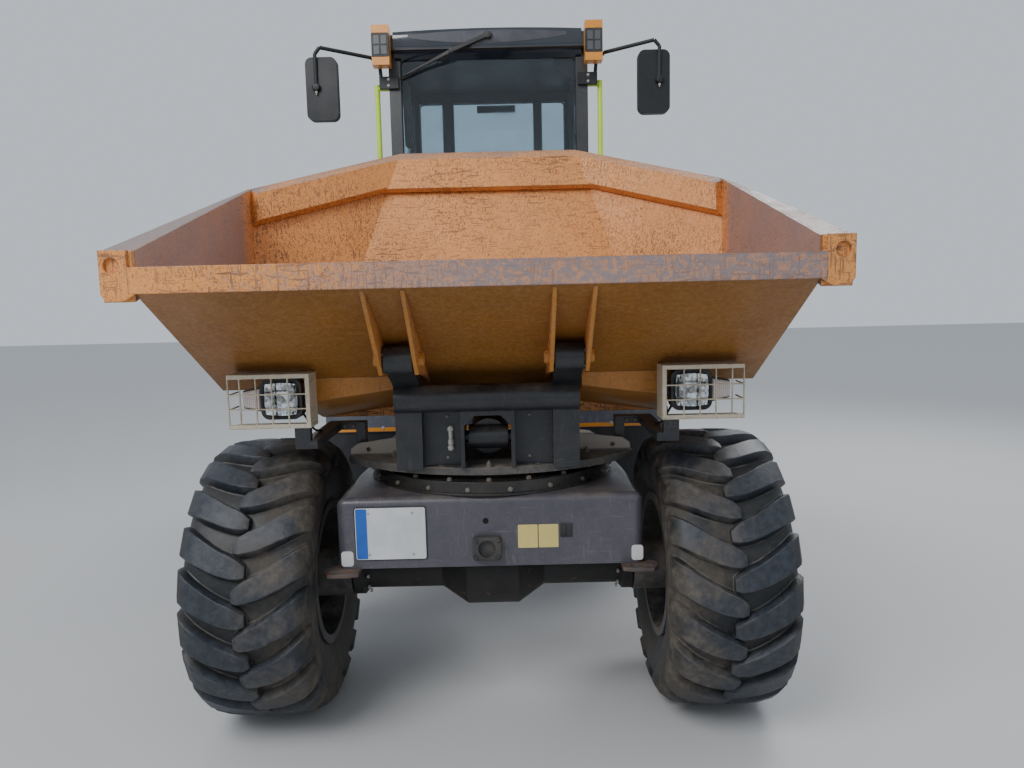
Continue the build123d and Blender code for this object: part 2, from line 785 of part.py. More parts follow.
# Centre block: turns on the upright pin, and carries the trunnion that lets the front roll
with BuildPart() as centre_block:
    block((-block_half, pivot_y - block_half, yoke_low_z + yoke_plate + 5),
          (block_half, pivot_y + block_half, yoke_high_z - yoke_plate - 5))
    fillet(centre_block.edges().filter_by(Axis.Z), 25)
    plan_plate(symmetric([(90, pivot_y - 60), (steer_arm_x + 30, pivot_y + steer_arm_y - 30),
                          (steer_arm_x + 30, pivot_y + steer_arm_y + 30), (90, pivot_y + 90)]),
               steer_z - 40, steer_z - 20)
    rod_between((0, pivot_y - 100, trunnion_z), (0, deck_rear_y - 20, trunnion_z), trunnion_radius)
    rod_between((0, pivot_y, yoke_low_z), (0, pivot_y, yoke_high_z), centre_pin_radius + running_clearance,
                mode=Mode.SUBTRACT)
save(centre_block, "centre_block")


# Steering rams
steer_barrel_radius = 35
steer_barrel_length = 330
steer_rod_radius = 18
steer_pin_radius = 15
for side, label in ((1, "left"), (-1, "right")):
    base = Vector(side * steer_base_x, steer_base_y, steer_z)
    eye = Vector(side * steer_arm_x, pivot_y + steer_arm_y, steer_z)
    way = (eye - base).normalized()
    length = (eye - base).length
    with BuildPart() as steer_barrel:
        rod_between(tuple(base), tuple(base + way * steer_barrel_length), steer_barrel_radius)
        rod_between((base.X, base.Y, steer_z - 40), (base.X, base.Y, steer_z + 40), 32)
        rod_between((base.X, base.Y, steer_z - 60), (base.X, base.Y, steer_z + 60),
                    steer_pin_radius + running_clearance, mode=Mode.SUBTRACT)
        rod_between(tuple(base + way * 50), tuple(base + way * (steer_barrel_length + 5)),
                    steer_rod_radius + running_clearance, mode=Mode.SUBTRACT)
    save(steer_barrel, "steer_barrel_" + label)
    with BuildPart() as steer_rod:
        rod_between(tuple(base + way * (length - steer_barrel_length)), tuple(eye), steer_rod_radius)
        rod_between((eye.X, eye.Y, steer_z - 14), (eye.X, eye.Y, steer_z + 14), 28)
        rod_between((eye.X, eye.Y, steer_z - 30), (eye.X, eye.Y, steer_z + 30), steer_pin_radius,
                    mode=Mode.SUBTRACT)
    save(steer_rod, "steer_rod_" + label)


# Rear chassis: two rails, cross members, the yoke and the centre pin
rail_rear_y = weight_front_y
cross_member = 30
with BuildPart() as rear_chassis:
    for side in (1, -1):
        block((side * (rail_half_width - rail_thickness), chassis_front_y, rail_low_z),
              (side * rail_half_width, rail_rear_y, rail_high_z))
    for cross_y in (chassis_front_y, 640, 1960, rail_rear_y - cross_member):
        block((-rail_half_width, cross_y, rail_low_z), (rail_half_width, cross_y + cross_member, rail_high_z))
    for z in (yoke_low_z, yoke_high_z - yoke_plate):
        with BuildSketch(Plane.XY.offset(z)) as yoke:
            with Locations((0, pivot_y)):
                Circle(yoke_radius)
            with Locations((0, (pivot_y + chassis_front_y + cross_member) / 2)):
                Rectangle(2 * yoke_radius, chassis_front_y + cross_member - pivot_y)
        extrude(yoke.sketch, amount=yoke_plate)
    block((-yoke_radius, chassis_front_y, yoke_low_z), (yoke_radius, chassis_front_y + 280, rail_high_z))
    rod_between((0, pivot_y, yoke_low_z - 20), (0, pivot_y, yoke_high_z + 20), centre_pin_radius)
    for side in (1, -1):
        for z in (steer_z - 65, steer_z + 45):
            block((side * (steer_base_x - 40), steer_base_y - 40, z),
                  (side * (steer_base_x + 40), steer_base_y + 60, z + 20))
        block((side * (steer_base_x - 40), steer_base_y + 45, steer_z - 65),
              (side * (steer_base_x + 40), steer_base_y + 60, rail_low_z + 30))
        block((side * (steer_base_x + 30), steer_base_y - 40, steer_z + 45),
              (side * (steer_base_x + 70), steer_base_y + 60, rail_low_z + 10))
        rod_between((side * steer_base_x, steer_base_y, steer_z - 65),
                    (side * steer_base_x, steer_base_y, steer_z + 65), steer_pin_radius)
save(rear_chassis, "rear_chassis")


# Engine, as one plain block, with its feet on the rails
engine_front_y = 1200
engine_rear_y = 1900
with BuildPart() as engine:
    block((-270, engine_front_y, 780), (270, engine_rear_y, 1450))
    for y in (engine_front_y + 100, engine_rear_y - 100):
        block((-rail_half_width, y - 40, rail_high_z), (rail_half_width, y + 40, rail_high_z + 40))
save(engine, "engine_block")


# Bonnet: one moulded cover that tips back about hinges on the counterweight
bonnet_hinge_y = bonnet_rear_y + 16
bonnet_hinge_z = weight_top_z + 22
hinge_places = (-350, 350)
hinge_radius = 16
hinge_pin_radius = 8
louvre_low_z = 1300
louvre_pitch = 62
with BuildPart() as bonnet:
    with BuildSketch(Plane.YZ):
        with BuildLine():
            Polyline((bonnet_front_y, bonnet_low_z), (bonnet_front_y, bonnet_top_z),
                     (bonnet_rear_y - 350, bonnet_top_z - 60), (bonnet_rear_y - 60, bonnet_top_z - 230),
                     (bonnet_rear_y, bonnet_low_z), close=True)
        make_face()
    extrude(amount=bonnet_half_width, both=True)
    fillet(bonnet.edges().filter_by(Axis.X).group_by(Axis.Z)[1:], 60)
    offset(amount=-bonnet_wall, openings=bonnet.faces().sort_by(Axis.Z)[0])
    for row in range(7):
        z = louvre_low_z + row * louvre_pitch
        block((-bonnet_half_width - 1, 1420, z), (bonnet_half_width + 1, 1960, z + 24), mode=Mode.SUBTRACT)
        block((-300, bonnet_rear_y - 90, z - 100), (300, bonnet_rear_y + 1, z - 76), mode=Mode.SUBTRACT)
    for x in hinge_places:
        rod_between((x - 20, bonnet_hinge_y, bonnet_hinge_z), (x + 20, bonnet_hinge_y, bonnet_hinge_z),
                    hinge_radius)
        block((x - 20, bonnet_rear_y - 6, bonnet_hinge_z - 12), (x + 20, bonnet_hinge_y, bonnet_hinge_z + 16))
        rod_between((x - 20, bonnet_hinge_y, bonnet_hinge_z), (x + 20, bonnet_hinge_y, bonnet_hinge_z),
                    hinge_pin_radius + running_clearance, mode=Mode.SUBTRACT)
save(bonnet, "bonnet")


# Counterweight with the towing jaw
weight_half_width = 600
weight_low_z = 640
jaw_z = 820
jaw_depth = 90
tow_pin_radius = 16
with BuildPart() as counterweight:
    block((-weight_half_width, weight_front_y, weight_low_z),
          (weight_half_width, weight_rear_y, weight_top_z))
    fillet(counterweight.edges().filter_by(Axis.Z), 40)
    block((-60, weight_rear_y - jaw_depth, jaw_z - 40), (60, weight_rear_y + 1, jaw_z + 40),
          mode=Mode.SUBTRACT)
    rod_between((0, weight_rear_y - jaw_depth / 2, jaw_z - 110),
                (0, weight_rear_y - jaw_depth / 2, weight_top_z + 1),
                tow_pin_radius, mode=Mode.SUBTRACT)
    for x in hinge_places:
        for side in (1, -1):
            inner_x = x + side * 20.3
            outer_x = x + side * 35
            block((inner_x, bonnet_hinge_y - 12, weight_top_z - 1),
                  (outer_x, bonnet_hinge_y + 12, bonnet_hinge_z))
            rod_between((inner_x, bonnet_hinge_y, bonnet_hinge_z),
                        (outer_x, bonnet_hinge_y, bonnet_hinge_z), 14)
        rod_between((x - 35, bonnet_hinge_y, bonnet_hinge_z), (x + 35, bonnet_hinge_y, bonnet_hinge_z),
                    hinge_pin_radius)
save(counterweight, "counterweight")

with BuildPart() as rear_lamps:
    for side in (1, -1):
        block((side * 400, weight_rear_y, 850), (side * 560, rear_y, 930))
    fillet(rear_lamps.edges().filter_by(Axis.Y), 15)
save(rear_lamps, "rear_lamps")


# Tanks beside the cab, with the front apron over them and steps on their outer faces
with BuildPart() as side_tanks:
    for side in (1, -1):
        block((side * rail_half_width, chassis_front_y, tank_low_z),
              (side * apron_half_width, tank_rear_y, tank_top_z))
    fillet(side_tanks.edges().filter_by(Axis.Y).group_by(Axis.Z)[0], 40)
    for side in (1, -1):
        block((side * (rail_half_width - rail_thickness), 100, rail_high_z),
              (side * rail_half_width, 200, tank_top_z))
save(side_tanks, "side_tanks")

with BuildPart() as deck_panel:
    block((-apron_half_width, chassis_front_y - 20, tank_top_z),
          (apron_half_width, tank_rear_y, deck_panel_z))
    block((-apron_half_width, chassis_front_y - 20, 930), (apron_half_width, chassis_front_y, tank_top_z))
save(deck_panel, "deck_panel")

step_out = 70
with BuildPart() as steps:
    for side in (1, -1):
        for z in (640, 850):
            block((side * apron_half_width, 90, z), (side * (apron_half_width + step_out), 370, z + 25))
            block((side * (apron_half_width + 12), 110, z - 1),
                  (side * (apron_half_width + step_out - 12), 350, z + 26),
                  mode=Mode.SUBTRACT)
            for y in (150, 200, 250, 300):
                block((side * (apron_half_width + 8), y, z),
                      (side * (apron_half_width + step_out - 8), y + 12, z + 25))
save(steps, "steps")


# Mudguards over the rear wheels
guard_radius = 650
guard_thickness = 6
guard_inner_x = 640
with BuildPart() as mudguards:
    for side in (1, -1):
        with BuildSketch(Plane.YZ.offset(side * guard_inner_x if side > 0 else -guard_inner_x - 540)) as guard:
            with Locations((rear_axle_y, axle_z)):
                Circle(guard_radius)
                Circle(guard_radius - guard_thickness, mode=Mode.SUBTRACT)
                with Locations((0, -520)):
                    Rectangle(2 * guard_radius + 10, 1300, mode=Mode.SUBTRACT)
        extrude(guard.sketch, amount=540)
        block((side * cab_half_width, 860, 1160), (side * (guard_inner_x + 20), 940, 1206))
save(mudguards, "rear_mudguards")


# Cab feet, from the deck and the rails to the cab floor
with BuildPart() as cab_mounts:
    for side in (1, -1):
        for foot_y, foot_z in ((150, deck_panel_z), (900, rail_high_z)):
            block((side * 300, foot_y - 50, foot_z), (side * 380, foot_y + 50, cab_low_z))
save(cab_mounts, "cab_mounts")


# Cab frame: floor, pillars and lower walls, with the fixed halves of the door hinges
door_frame_low_z = 1280
door_hinge_x = cab_half_width + 12
door_hinge_y = cab_rear_y - 93
door_hinge_heights = (1500, 2900)
rear_window_low_z = 2000
with BuildPart() as cab_frame:
    block((-cab_half_width, cab_front_y, cab_low_z), (cab_half_width, cab_rear_y, cab_top_z))
    block((-cab_half_width + cab_wall, cab_front_y + cab_wall, cab_low_z + 30),
          (cab_half_width - cab_wall, cab_rear_y - cab_wall, cab_top_z + 1), mode=Mode.SUBTRACT)
    block((-cab_half_width + cab_post, cab_front_y - 1, cab_sill_z),
          (cab_half_width - cab_post, cab_front_y + cab_wall + 1, cab_top_z - 40), mode=Mode.SUBTRACT)
    block((-cab_half_width + cab_post, cab_rear_y - cab_wall - 1, rear_window_low_z),
          (cab_half_width - cab_post, cab_rear_y + 1, cab_top_z - 60), mode=Mode.SUBTRACT)
    block((-cab_half_width - 1, cab_front_y + 80, door_frame_low_z),
          (cab_half_width + 1, cab_rear_y - 90, cab_top_z - 60), mode=Mode.SUBTRACT)
    for side in (1, -1):
        for z in door_hinge_heights:
            x = side * door_hinge_x
            for plate_z in (z - 30, z + 20.3):
                rod_between((x, door_hinge_y, plate_z), (x, door_hinge_y, plate_z + 9.7), 12)
                block((side * (cab_half_width - 10), door_hinge_y + 3.5, plate_z),
                      (x, door_hinge_y + 40, plate_z + 9.7))
                block((x - side * 6, door_hinge_y, plate_z), (x, door_hinge_y + 40, plate_z + 9.7))
            rod_between((x, door_hinge_y, z - 30), (x, door_hinge_y, z + 30), 6)
save(cab_frame, "cab_frame")

with BuildPart() as cab_roof:
    block((-cab_half_width - 20, cab_front_y - 60, cab_top_z),
          (cab_half_width + 20, cab_rear_y + 20, roof_top_z))
    fillet(cab_roof.edges().group_by(Axis.Z)[-1], 50)
save(cab_roof, "cab_roof")

with BuildPart() as cab_glass:
    block((-cab_half_width + cab_post, cab_front_y + 10, cab_sill_z),
          (cab_half_width - cab_post, cab_front_y + 10 + glass_thickness, cab_top_z - 40))
    block((-cab_half_width + cab_post, cab_rear_y - 10 - glass_thickness, rear_window_low_z),
          (cab_half_width - cab_post, cab_rear_y - 10, cab_top_z - 60))
save(cab_glass, "cab_glass")


# Doors, hinged at their rear edges
door_front_y = cab_front_y + 80 + moving_clearance
door_rear_y = cab_rear_y - 90 - moving_clearance
door_low_z = door_frame_low_z + moving_clearance
door_high_z = cab_top_z - 60 - moving_clearance
door_post = 60
door_windows = [
    # lower edge, upper edge
    (1350, 1740),
    (1800, door_high_z - 60),
]
for side, label in ((1, "left"), (-1, "right")):
    with BuildPart() as door:
        block((side * (cab_half_width - cab_wall), door_front_y, door_low_z),
              (side * cab_half_width, door_rear_y, door_high_z))
        for low_z, high_z in door_windows:
            block((side * (cab_half_width - cab_wall - 1), door_front_y + door_post, low_z),
                  (side * (cab_half_width + 1), door_rear_y - door_post, high_z), mode=Mode.SUBTRACT)
        block((side * cab_half_width, door_front_y + 12, 1760),
              (side * (cab_half_width + 18), door_front_y + 48, 1790))
        for z in door_hinge_heights:
            x = side * door_hinge_x
            rod_between((x, door_hinge_y, z - 20), (x, door_hinge_y, z + 20), 12)
            block((side * (cab_half_width - 10), door_hinge_y - 45, z - 20),
                  (x - side * 4, door_hinge_y - 4, z + 20))
            rod_between((x, door_hinge_y, z - 21), (x, door_hinge_y, z + 21), 6 + running_clearance,
                        mode=Mode.SUBTRACT)
    save(door, "door_" + label)
    with BuildPart() as door_glass:
        for low_z, high_z in door_windows:
            block((side * (cab_half_width - 17 - glass_thickness), door_front_y + door_post, low_z),
                  (side * (cab_half_width - 17), door_rear_y - door_post, high_z))
    save(door_glass, "door_glass_" + label)


# Seat, steering column and wheel
seat_half_width = 250
with BuildPart() as seat:
    block((-seat_half_width + 20, 480, cab_low_z + 30), (seat_half_width - 20, 900, 1420))
    block((-seat_half_width, 450, 1420), (seat_half_width, 930, 1540))
    block((-seat_half_width + 10, 820, 1540), (seat_half_width - 10, 940, 2150))
save(seat, "seat")

column_foot = (0, 130, 1156)
column_head = (0, 300, 1760)
with BuildPart() as column:
    rod_between(column_foot, column_head, 45)
    block((-60, 80, cab_low_z + 30), (60, 200, column_foot[2] + 20))
    block((-300, cab_front_y + cab_wall, 1500), (300, 230, 1740))
save(column, "steering_column")

column_way = (Vector(*column_head) - Vector(*column_foot)).normalized()
wheel_centre = Vector(*column_head) + column_way * seat_clearance
hub_end = wheel_centre + column_way * 40
grip_radius = 185
grip_thickness = 14
with BuildPart() as steering_wheel:
    rod_between(tuple(wheel_centre), tuple(hub_end), 35)
    wheel_plane = Plane(origin=hub_end, x_dir=(1, 0, 0), z_dir=column_way)
    with BuildSketch(Plane(origin=hub_end, x_dir=(1, 0, 0), z_dir=column_way.cross(Vector(1, 0, 0)))) as grip:
        with Locations((grip_radius, 0)):
            RegularPolygon(grip_thickness, 6)
    revolve(grip.sketch, axis=Axis(origin=hub_end, direction=column_way))
    with BuildSketch(wheel_plane.offset(-4)) as spokes:
        with PolarLocations(100, 3):
            Rectangle(2 * (grip_radius - 100), 28)
    extrude(spokes.sketch, amount=8)
save(steering_wheel, "steering_wheel")


# Handrails, mirrors and roof lamps
rail_x = 676
rail_y = cab_front_y + 20
rail_bottom_z = 1500
rail_top_z = 3050
with BuildPart() as handrails:
    for side in (1, -1):
        rod_between((side * rail_x, rail_y, rail_bottom_z), (side * rail_x, rail_y, rail_top_z), 16)
        for z in (rail_bottom_z + 20, rail_top_z - 20):
            rod_between((side * cab_half_width, rail_y, z), (side * rail_x, rail_y, z), 14)
save(handrails, "handrails")

mirror_x = 974
mirror_z = 2995
mirror_front_y = -120
mirror_rear_y = -70
mirror_arm = [
    # place in X, in Y, height
    (cab_half_width + 40, cab_front_y - 12, 3040),
    (cab_half_width + 50, cab_front_y - 20, 3155),
    (cab_half_width + 95, cab_front_y - 40, 3195),
    (mirror_x, mirror_front_y - 10, 3225),
    (mirror_x + 30, mirror_front_y - 10, 3190),
    (mirror_x + 30, mirror_front_y - 2, 3000),
]
with BuildPart() as mirrors:
    for side in (1, -1):
        with BuildSketch(Plane.XZ.offset(-mirror_front_y)) as shell:
            with Locations((side * mirror_x, mirror_z)):
                RectangleRounded(186, 360, 40)
        extrude(shell.sketch, amount=mirror_front_y - mirror_rear_y)
        for start, end in zip(mirror_arm, mirror_arm[1:]):
            rod_between((side * start[0], start[1], start[2]), (side * end[0], end[1], end[2]), 11)
        block((side * (cab_half_width - 60), cab_front_y - 25, 3020),
              (side * (cab_half_width + 55), cab_front_y, 3090))
save(mirrors, "mirrors")

with BuildPart() as mirror_glass:
    for side in (1, -1):
        with BuildSketch(Plane.XZ.offset(-mirror_rear_y)) as pane:
            with Locations((side * mirror_x, mirror_z)):
                RectangleRounded(160, 334, 30)
        extrude(pane.sketch, amount=-4)
save(mirror_glass, "mirror_glass")

roof_lamp_y = cab_front_y - 60
with BuildPart() as roof_lamps:
    for side in (1, -1):
        block((side * 573, roof_lamp_y - 80, 3125), (side * 675, roof_lamp_y, 3350))
        block((side * 580, roof_lamp_y - 81, 3170), (side * 669, roof_lamp_y - 8, 3305), mode=Mode.SUBTRACT)
        block((side * 584, roof_lamp_y - 70, 3170), (side * 664, roof_lamp_y - 8, 3305))
save(roof_lamps, "roof_lamps")
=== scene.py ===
import bmesh
import bpy
from math import cos, hypot, pi, radians, sin
from mathutils import Matrix, Vector


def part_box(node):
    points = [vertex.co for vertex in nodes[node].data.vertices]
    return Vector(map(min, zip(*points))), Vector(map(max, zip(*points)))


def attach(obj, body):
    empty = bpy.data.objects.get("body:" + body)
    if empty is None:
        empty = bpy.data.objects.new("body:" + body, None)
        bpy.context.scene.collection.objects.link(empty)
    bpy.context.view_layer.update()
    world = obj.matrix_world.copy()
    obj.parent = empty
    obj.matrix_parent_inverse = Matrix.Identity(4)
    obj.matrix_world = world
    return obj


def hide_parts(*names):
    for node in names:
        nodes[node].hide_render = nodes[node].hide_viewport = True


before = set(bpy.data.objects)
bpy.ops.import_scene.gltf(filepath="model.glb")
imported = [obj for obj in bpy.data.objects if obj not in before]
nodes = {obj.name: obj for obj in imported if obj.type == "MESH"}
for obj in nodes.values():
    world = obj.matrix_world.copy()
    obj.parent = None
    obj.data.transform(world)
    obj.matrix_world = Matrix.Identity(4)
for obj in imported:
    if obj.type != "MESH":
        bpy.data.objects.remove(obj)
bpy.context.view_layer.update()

# Studio. The camera stands in front of the skip at the photograph's place, as high as a person's eyes,
# turned a little clockwise as it was held. The floor is plain and pale, the light soft and high.
focal_px = 769
eye = (0.10, -4.80, 1.77)
pitch_down = 6.6
roll = 1.33
lens = bpy.data.cameras.new("camera")
lens.sensor_width = 36
lens.lens = 36 * focal_px / 1024
camera = bpy.data.objects.new("camera", lens)
camera.matrix_world = (Matrix.Translation(eye) @ Matrix.Rotation(radians(90 - pitch_down), 4, "X")
                       @ Matrix.Rotation(radians(-roll), 4, "Z"))
bpy.context.scene.collection.objects.link(camera)
bpy.context.scene.camera = camera

sky = bpy.data.worlds.new("studio")
sky.use_nodes = True
sky.node_tree.nodes["Background"].inputs["Color"].default_value = (0.80, 0.87, 0.95, 1)
sky.node_tree.nodes["Background"].inputs["Strength"].default_value = 0.78
bpy.context.scene.world = sky
for name, place, size, watts in (("key", (-3.5, -6.0, 6.5), 4.0, 420), ("rim", (4.5, 3.5, 6.0), 3.0, 260)):
    lamp = bpy.data.lights.new(name, "AREA")
    lamp.energy = watts
    lamp.size = size
    light = bpy.data.objects.new(name, lamp)
    aim = Vector(place) - Vector((0, -0.8, 1.4))
    light.matrix_world = Matrix.Translation(place) @ aim.to_track_quat("Z", "Y").to_matrix().to_4x4()
    bpy.context.scene.collection.objects.link(light)


def put(tree, kind, sockets=None, **settings):
    """One node in a tree, its sockets filled from numbers, colours or other nodes' sockets."""
    made = tree.nodes.new(kind)
    for name, value in settings.items():
        setattr(made, name, value)
    for name, value in (sockets or {}).items():
        if isinstance(value, bpy.types.NodeSocket):
            tree.links.new(value, made.inputs[name])
        else:
            made.inputs[name].default_value = value
    return made


def new_finish(name):
    """An empty material, as its node tree and its shader."""
    made = bpy.data.materials.new(name)
    made.use_nodes = True
    return made, made.node_tree, made.node_tree.nodes["Principled BSDF"]


def piece(name, verts, faces, finish, body, smooth=None):
    """A new mesh piece that rides on a body; smooth is the angle above which an edge stays sharp."""
    mesh = bpy.data.meshes.new(name)
    mesh.from_pydata([tuple(v) for v in verts], [], faces)
    mesh.validate()
    shell = bmesh.new()
    shell.from_mesh(mesh)
    bmesh.ops.recalc_face_normals(shell, faces=shell.faces)
    shell.to_mesh(mesh)
    shell.free()
    if smooth:
        mesh.shade_smooth()
        mesh.set_sharp_from_angle(angle=radians(smooth))
    made = bpy.data.objects.new(name, mesh)
    bpy.context.scene.collection.objects.link(made)
    made.data.materials.append(finish)
    if body:
        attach(made, body)
    return made


floor_finish, tree, shader = new_finish("floor_pale")
soft_noise = put(tree, "ShaderNodeTexNoise", {"Scale": 1.5, "Detail": 6})
tone = put(tree, "ShaderNodeValToRGB", {0: soft_noise.outputs[0]})
tone.color_ramp.elements[0].color = (0.50, 0.50, 0.50, 1)
tone.color_ramp.elements[1].color = (0.56, 0.56, 0.56, 1)
tree.links.new(tone.outputs[0], shader.inputs["Base Color"])
shader.inputs["Roughness"].default_value = 0.7
floor = piece("floor", [(-30, -30, 0), (30, -30, 0), (30, 30, 0), (-30, 30, 0)], [(0, 1, 2, 3)],
              floor_finish, None)


# Tyres. Wide bar-lug tyres of black rubber, moulded, on steel rims. Curved lugs lie in a chevron, with dried
# brown mud left on the casing between them. The rubber's bluish tint is painted sky reflection, and the casing
# below the lugs' tops is painted near black as shade.
def start_group(name, numbers, out="Mask", kind="NodeSocketFloat"):
    """A node group with named number inputs and one output: its tree, inputs and end node."""
    tree = bpy.data.node_groups.new(name, "ShaderNodeTree")
    for label, value in numbers.items():
        tree.interface.new_socket(label, in_out="INPUT",
                                  socket_type="NodeSocketFloat").default_value = value
    tree.interface.new_socket(out, in_out="OUTPUT", socket_type=kind)
    return tree, tree.nodes.new("NodeGroupInput").outputs, tree.nodes.new("NodeGroupOutput").inputs[0]


def maths(tree, operation, *values, clamp=False):
    """The result of one sum, from numbers or sockets."""
    return put(tree, "ShaderNodeMath", dict(enumerate(values)), operation=operation,
               use_clamp=clamp).outputs[0]


def span(tree, value, low, high, to_low=0.0, to_high=1.0):
    """A value stretched from one range to another and held inside it."""
    return put(tree, "ShaderNodeMapRange", {"Value": value, "From Min": low, "From Max": high,
                                            "To Min": to_low, "To Max": to_high},
               interpolation_type="SMOOTHSTEP").outputs[0]


def mottle_group():
    """Slow uneven shade, as paint and rubber age."""
    tree, given, end = start_group("mottle", {"Scale": 3.0, "Low": 0.35, "High": 0.65})
    place = put(tree, "ShaderNodeTexCoord").outputs["Object"]
    cloud = put(tree, "ShaderNodeTexNoise", {"Vector": place, "Scale": given["Scale"], "Detail": 7,
                                             "Roughness": 0.62})
    tree.links.new(span(tree, cloud.outputs[0], given["Low"], given["High"]), end)
    return tree


def dust_group():
    """Dust and dried mud, thick on faces that look up and thin on upright ones."""
    tree, given, end = start_group("dust", {"Amount": 0.5, "Scale": 7.0, "Upright": 0.35})
    coordinates = put(tree, "ShaderNodeTexCoord")
    lean = put(tree, "ShaderNodeSeparateXYZ", {0: coordinates.outputs["Normal"]}).outputs[2]
    lying = span(tree, lean, 0.1, 0.95)
    lying = maths(tree, "MAXIMUM", lying, given["Upright"])
    cloud = put(tree, "ShaderNodeTexNoise", {"Vector": coordinates.outputs["Object"],
                                             "Scale": given["Scale"], "Detail": 9,
                                             "Roughness": 0.7}).outputs[0]
    patch = span(tree, cloud, 0.38, 0.68)
    tree.links.new(maths(tree, "MULTIPLY", maths(tree, "MULTIPLY", lying, patch), given["Amount"],
                         clamp=True), end)
    return tree


def edge_wear_group():
    """Bare edges: where the surface turns sharply, broken up by a cloud."""
    tree, given, end = start_group("edge_wear", {"Width": 0.006, "Amount": 1.0, "Scale": 12.0})
    rounded = put(tree, "ShaderNodeBevel", {"Radius": given["Width"]}, samples=4).outputs[0]
    true_face = put(tree, "ShaderNodeNewGeometry").outputs["Normal"]
    turn = put(tree, "ShaderNodeVectorMath", {0: rounded, 1: true_face},
               operation="DOT_PRODUCT").outputs["Value"]
    edge = span(tree, turn, 0.985, 0.80)
    place = put(tree, "ShaderNodeTexCoord").outputs["Object"]
    cloud = put(tree, "ShaderNodeTexNoise", {"Vector": place, "Scale": given["Scale"],
                                             "Detail": 8}).outputs[0]
    broken = span(tree, cloud, 0.40, 0.60)
    tree.links.new(maths(tree, "MULTIPLY", maths(tree, "MULTIPLY", edge, broken), given["Amount"],
                         clamp=True), end)
    return tree


def use(tree, effect, **numbers):
    """An effect's mask in a material, with this material's own values."""
    made = put(tree, "ShaderNodeGroup", node_tree=effect)
    for name, value in numbers.items():
        if isinstance(value, bpy.types.NodeSocket):
            tree.links.new(value, made.inputs[name])
        else:
            made.inputs[name].default_value = value
    return made.outputs[0]


def blend_colour(tree, share, under, over):
    """Two colours mixed by a mask."""
    colours = [c if isinstance(c, bpy.types.NodeSocket) else (*c, 1) for c in (under, over)]
    return put(tree, "ShaderNodeMix", {0: share, 6: colours[0], 7: colours[1]}, data_type="RGBA").outputs[2]


def relief(tree, shader, height, distance, normal=None, strength=1.0):
    """A bump map on the shader's normal."""
    sockets = {"Height": height, "Distance": distance, "Strength": strength}
    if normal:
        sockets["Normal"] = normal
    tree.links.new(put(tree, "ShaderNodeBump", sockets).outputs[0], shader.inputs["Normal"])


mottle = mottle_group()
dust = dust_group()
edge_wear = edge_wear_group()
mud = (0.165, 0.135, 0.102)


def tyre_rubber(name, axle_y, axle_z):
    """Black rubber tinted bluish as painted sky reflection, with painted shade on the casing below the lugs'
    tops and mud on that casing, which lies nearer the axle.
    """
    finish, tree, shader = new_finish(name)
    place = put(tree, "ShaderNodeTexCoord").outputs["Object"]
    from_axle = put(tree, "ShaderNodeVectorMath", {0: place, 1: (0, axle_y, axle_z)},
                    operation="SUBTRACT").outputs[0]
    flat = put(tree, "ShaderNodeVectorMath", {0: from_axle, 1: (0, 1, 1)}, operation="MULTIPLY").outputs[0]
    radius = put(tree, "ShaderNodeVectorMath", {0: flat}, operation="LENGTH").outputs["Value"]
    across = put(tree, "ShaderNodeSeparateXYZ", {0: place}).outputs[0]
    inner_half = span(tree, maths(tree, "ABSOLUTE", across), 1.02, 0.80)
    groove = span(tree, radius, 0.568, 0.545)
    sidewall = span(tree, radius, 0.50, 0.44)
    patches = use(tree, mottle, Scale=5.0, Low=0.36, High=0.60)
    fine = use(tree, mottle, Scale=38.0, Low=0.3, High=0.75)
    # The two blue-black shades stand in for the sky's reflection on the rubber: painted reflection.
    rubber = blend_colour(tree, fine, (0.013, 0.017, 0.025), (0.034, 0.041, 0.053))
    # Below the lugs' tops the casing is painted near black: painted shade between the lugs.
    rubber = blend_colour(tree, maths(tree, "MULTIPLY", groove, 0.85), rubber, (0.008, 0.009, 0.010))
    muddy = maths(tree, "MAXIMUM", maths(tree, "MULTIPLY", inner_half, 0.62), maths(tree, "MULTIPLY",
                                                                                    sidewall, 0.5))
    muddy = maths(tree, "MAXIMUM", muddy, maths(tree, "MULTIPLY", groove, 0.12))
    muddy = maths(tree, "MULTIPLY", muddy, patches)
    muddy = maths(tree, "MULTIPLY", muddy, span(tree, fine, 0.0, 0.8, 0.45, 0.95))
    rubber = blend_colour(tree, muddy, rubber, mud)
    scuffs = put(tree, "ShaderNodeTexNoise", {"Vector": place, "Scale": 24, "Detail": 12, "Roughness": 0.75,
                                              "Distortion": 1.2}).outputs[0]
    pale = maths(tree, "MULTIPLY", span(tree, scuffs, 0.58, 0.70), 0.40)
    rubber = blend_colour(tree, pale, rubber, (0.13, 0.13, 0.135))
    edges = use(tree, edge_wear, Width=0.009, Amount=0.55, Scale=9.0)
    rubber = blend_colour(tree, edges, rubber, (0.19, 0.185, 0.17))
    tree.links.new(rubber, shader.inputs["Base Color"])
    tree.links.new(span(tree, muddy, 0.0, 0.6, 0.46, 0.92), shader.inputs["Roughness"])
    soft_edge = put(tree, "ShaderNodeBevel", {"Radius": 0.008}, samples=4).outputs[0]
    relief(tree, shader, scuffs, 0.004, normal=soft_edge, strength=0.6)
    return finish


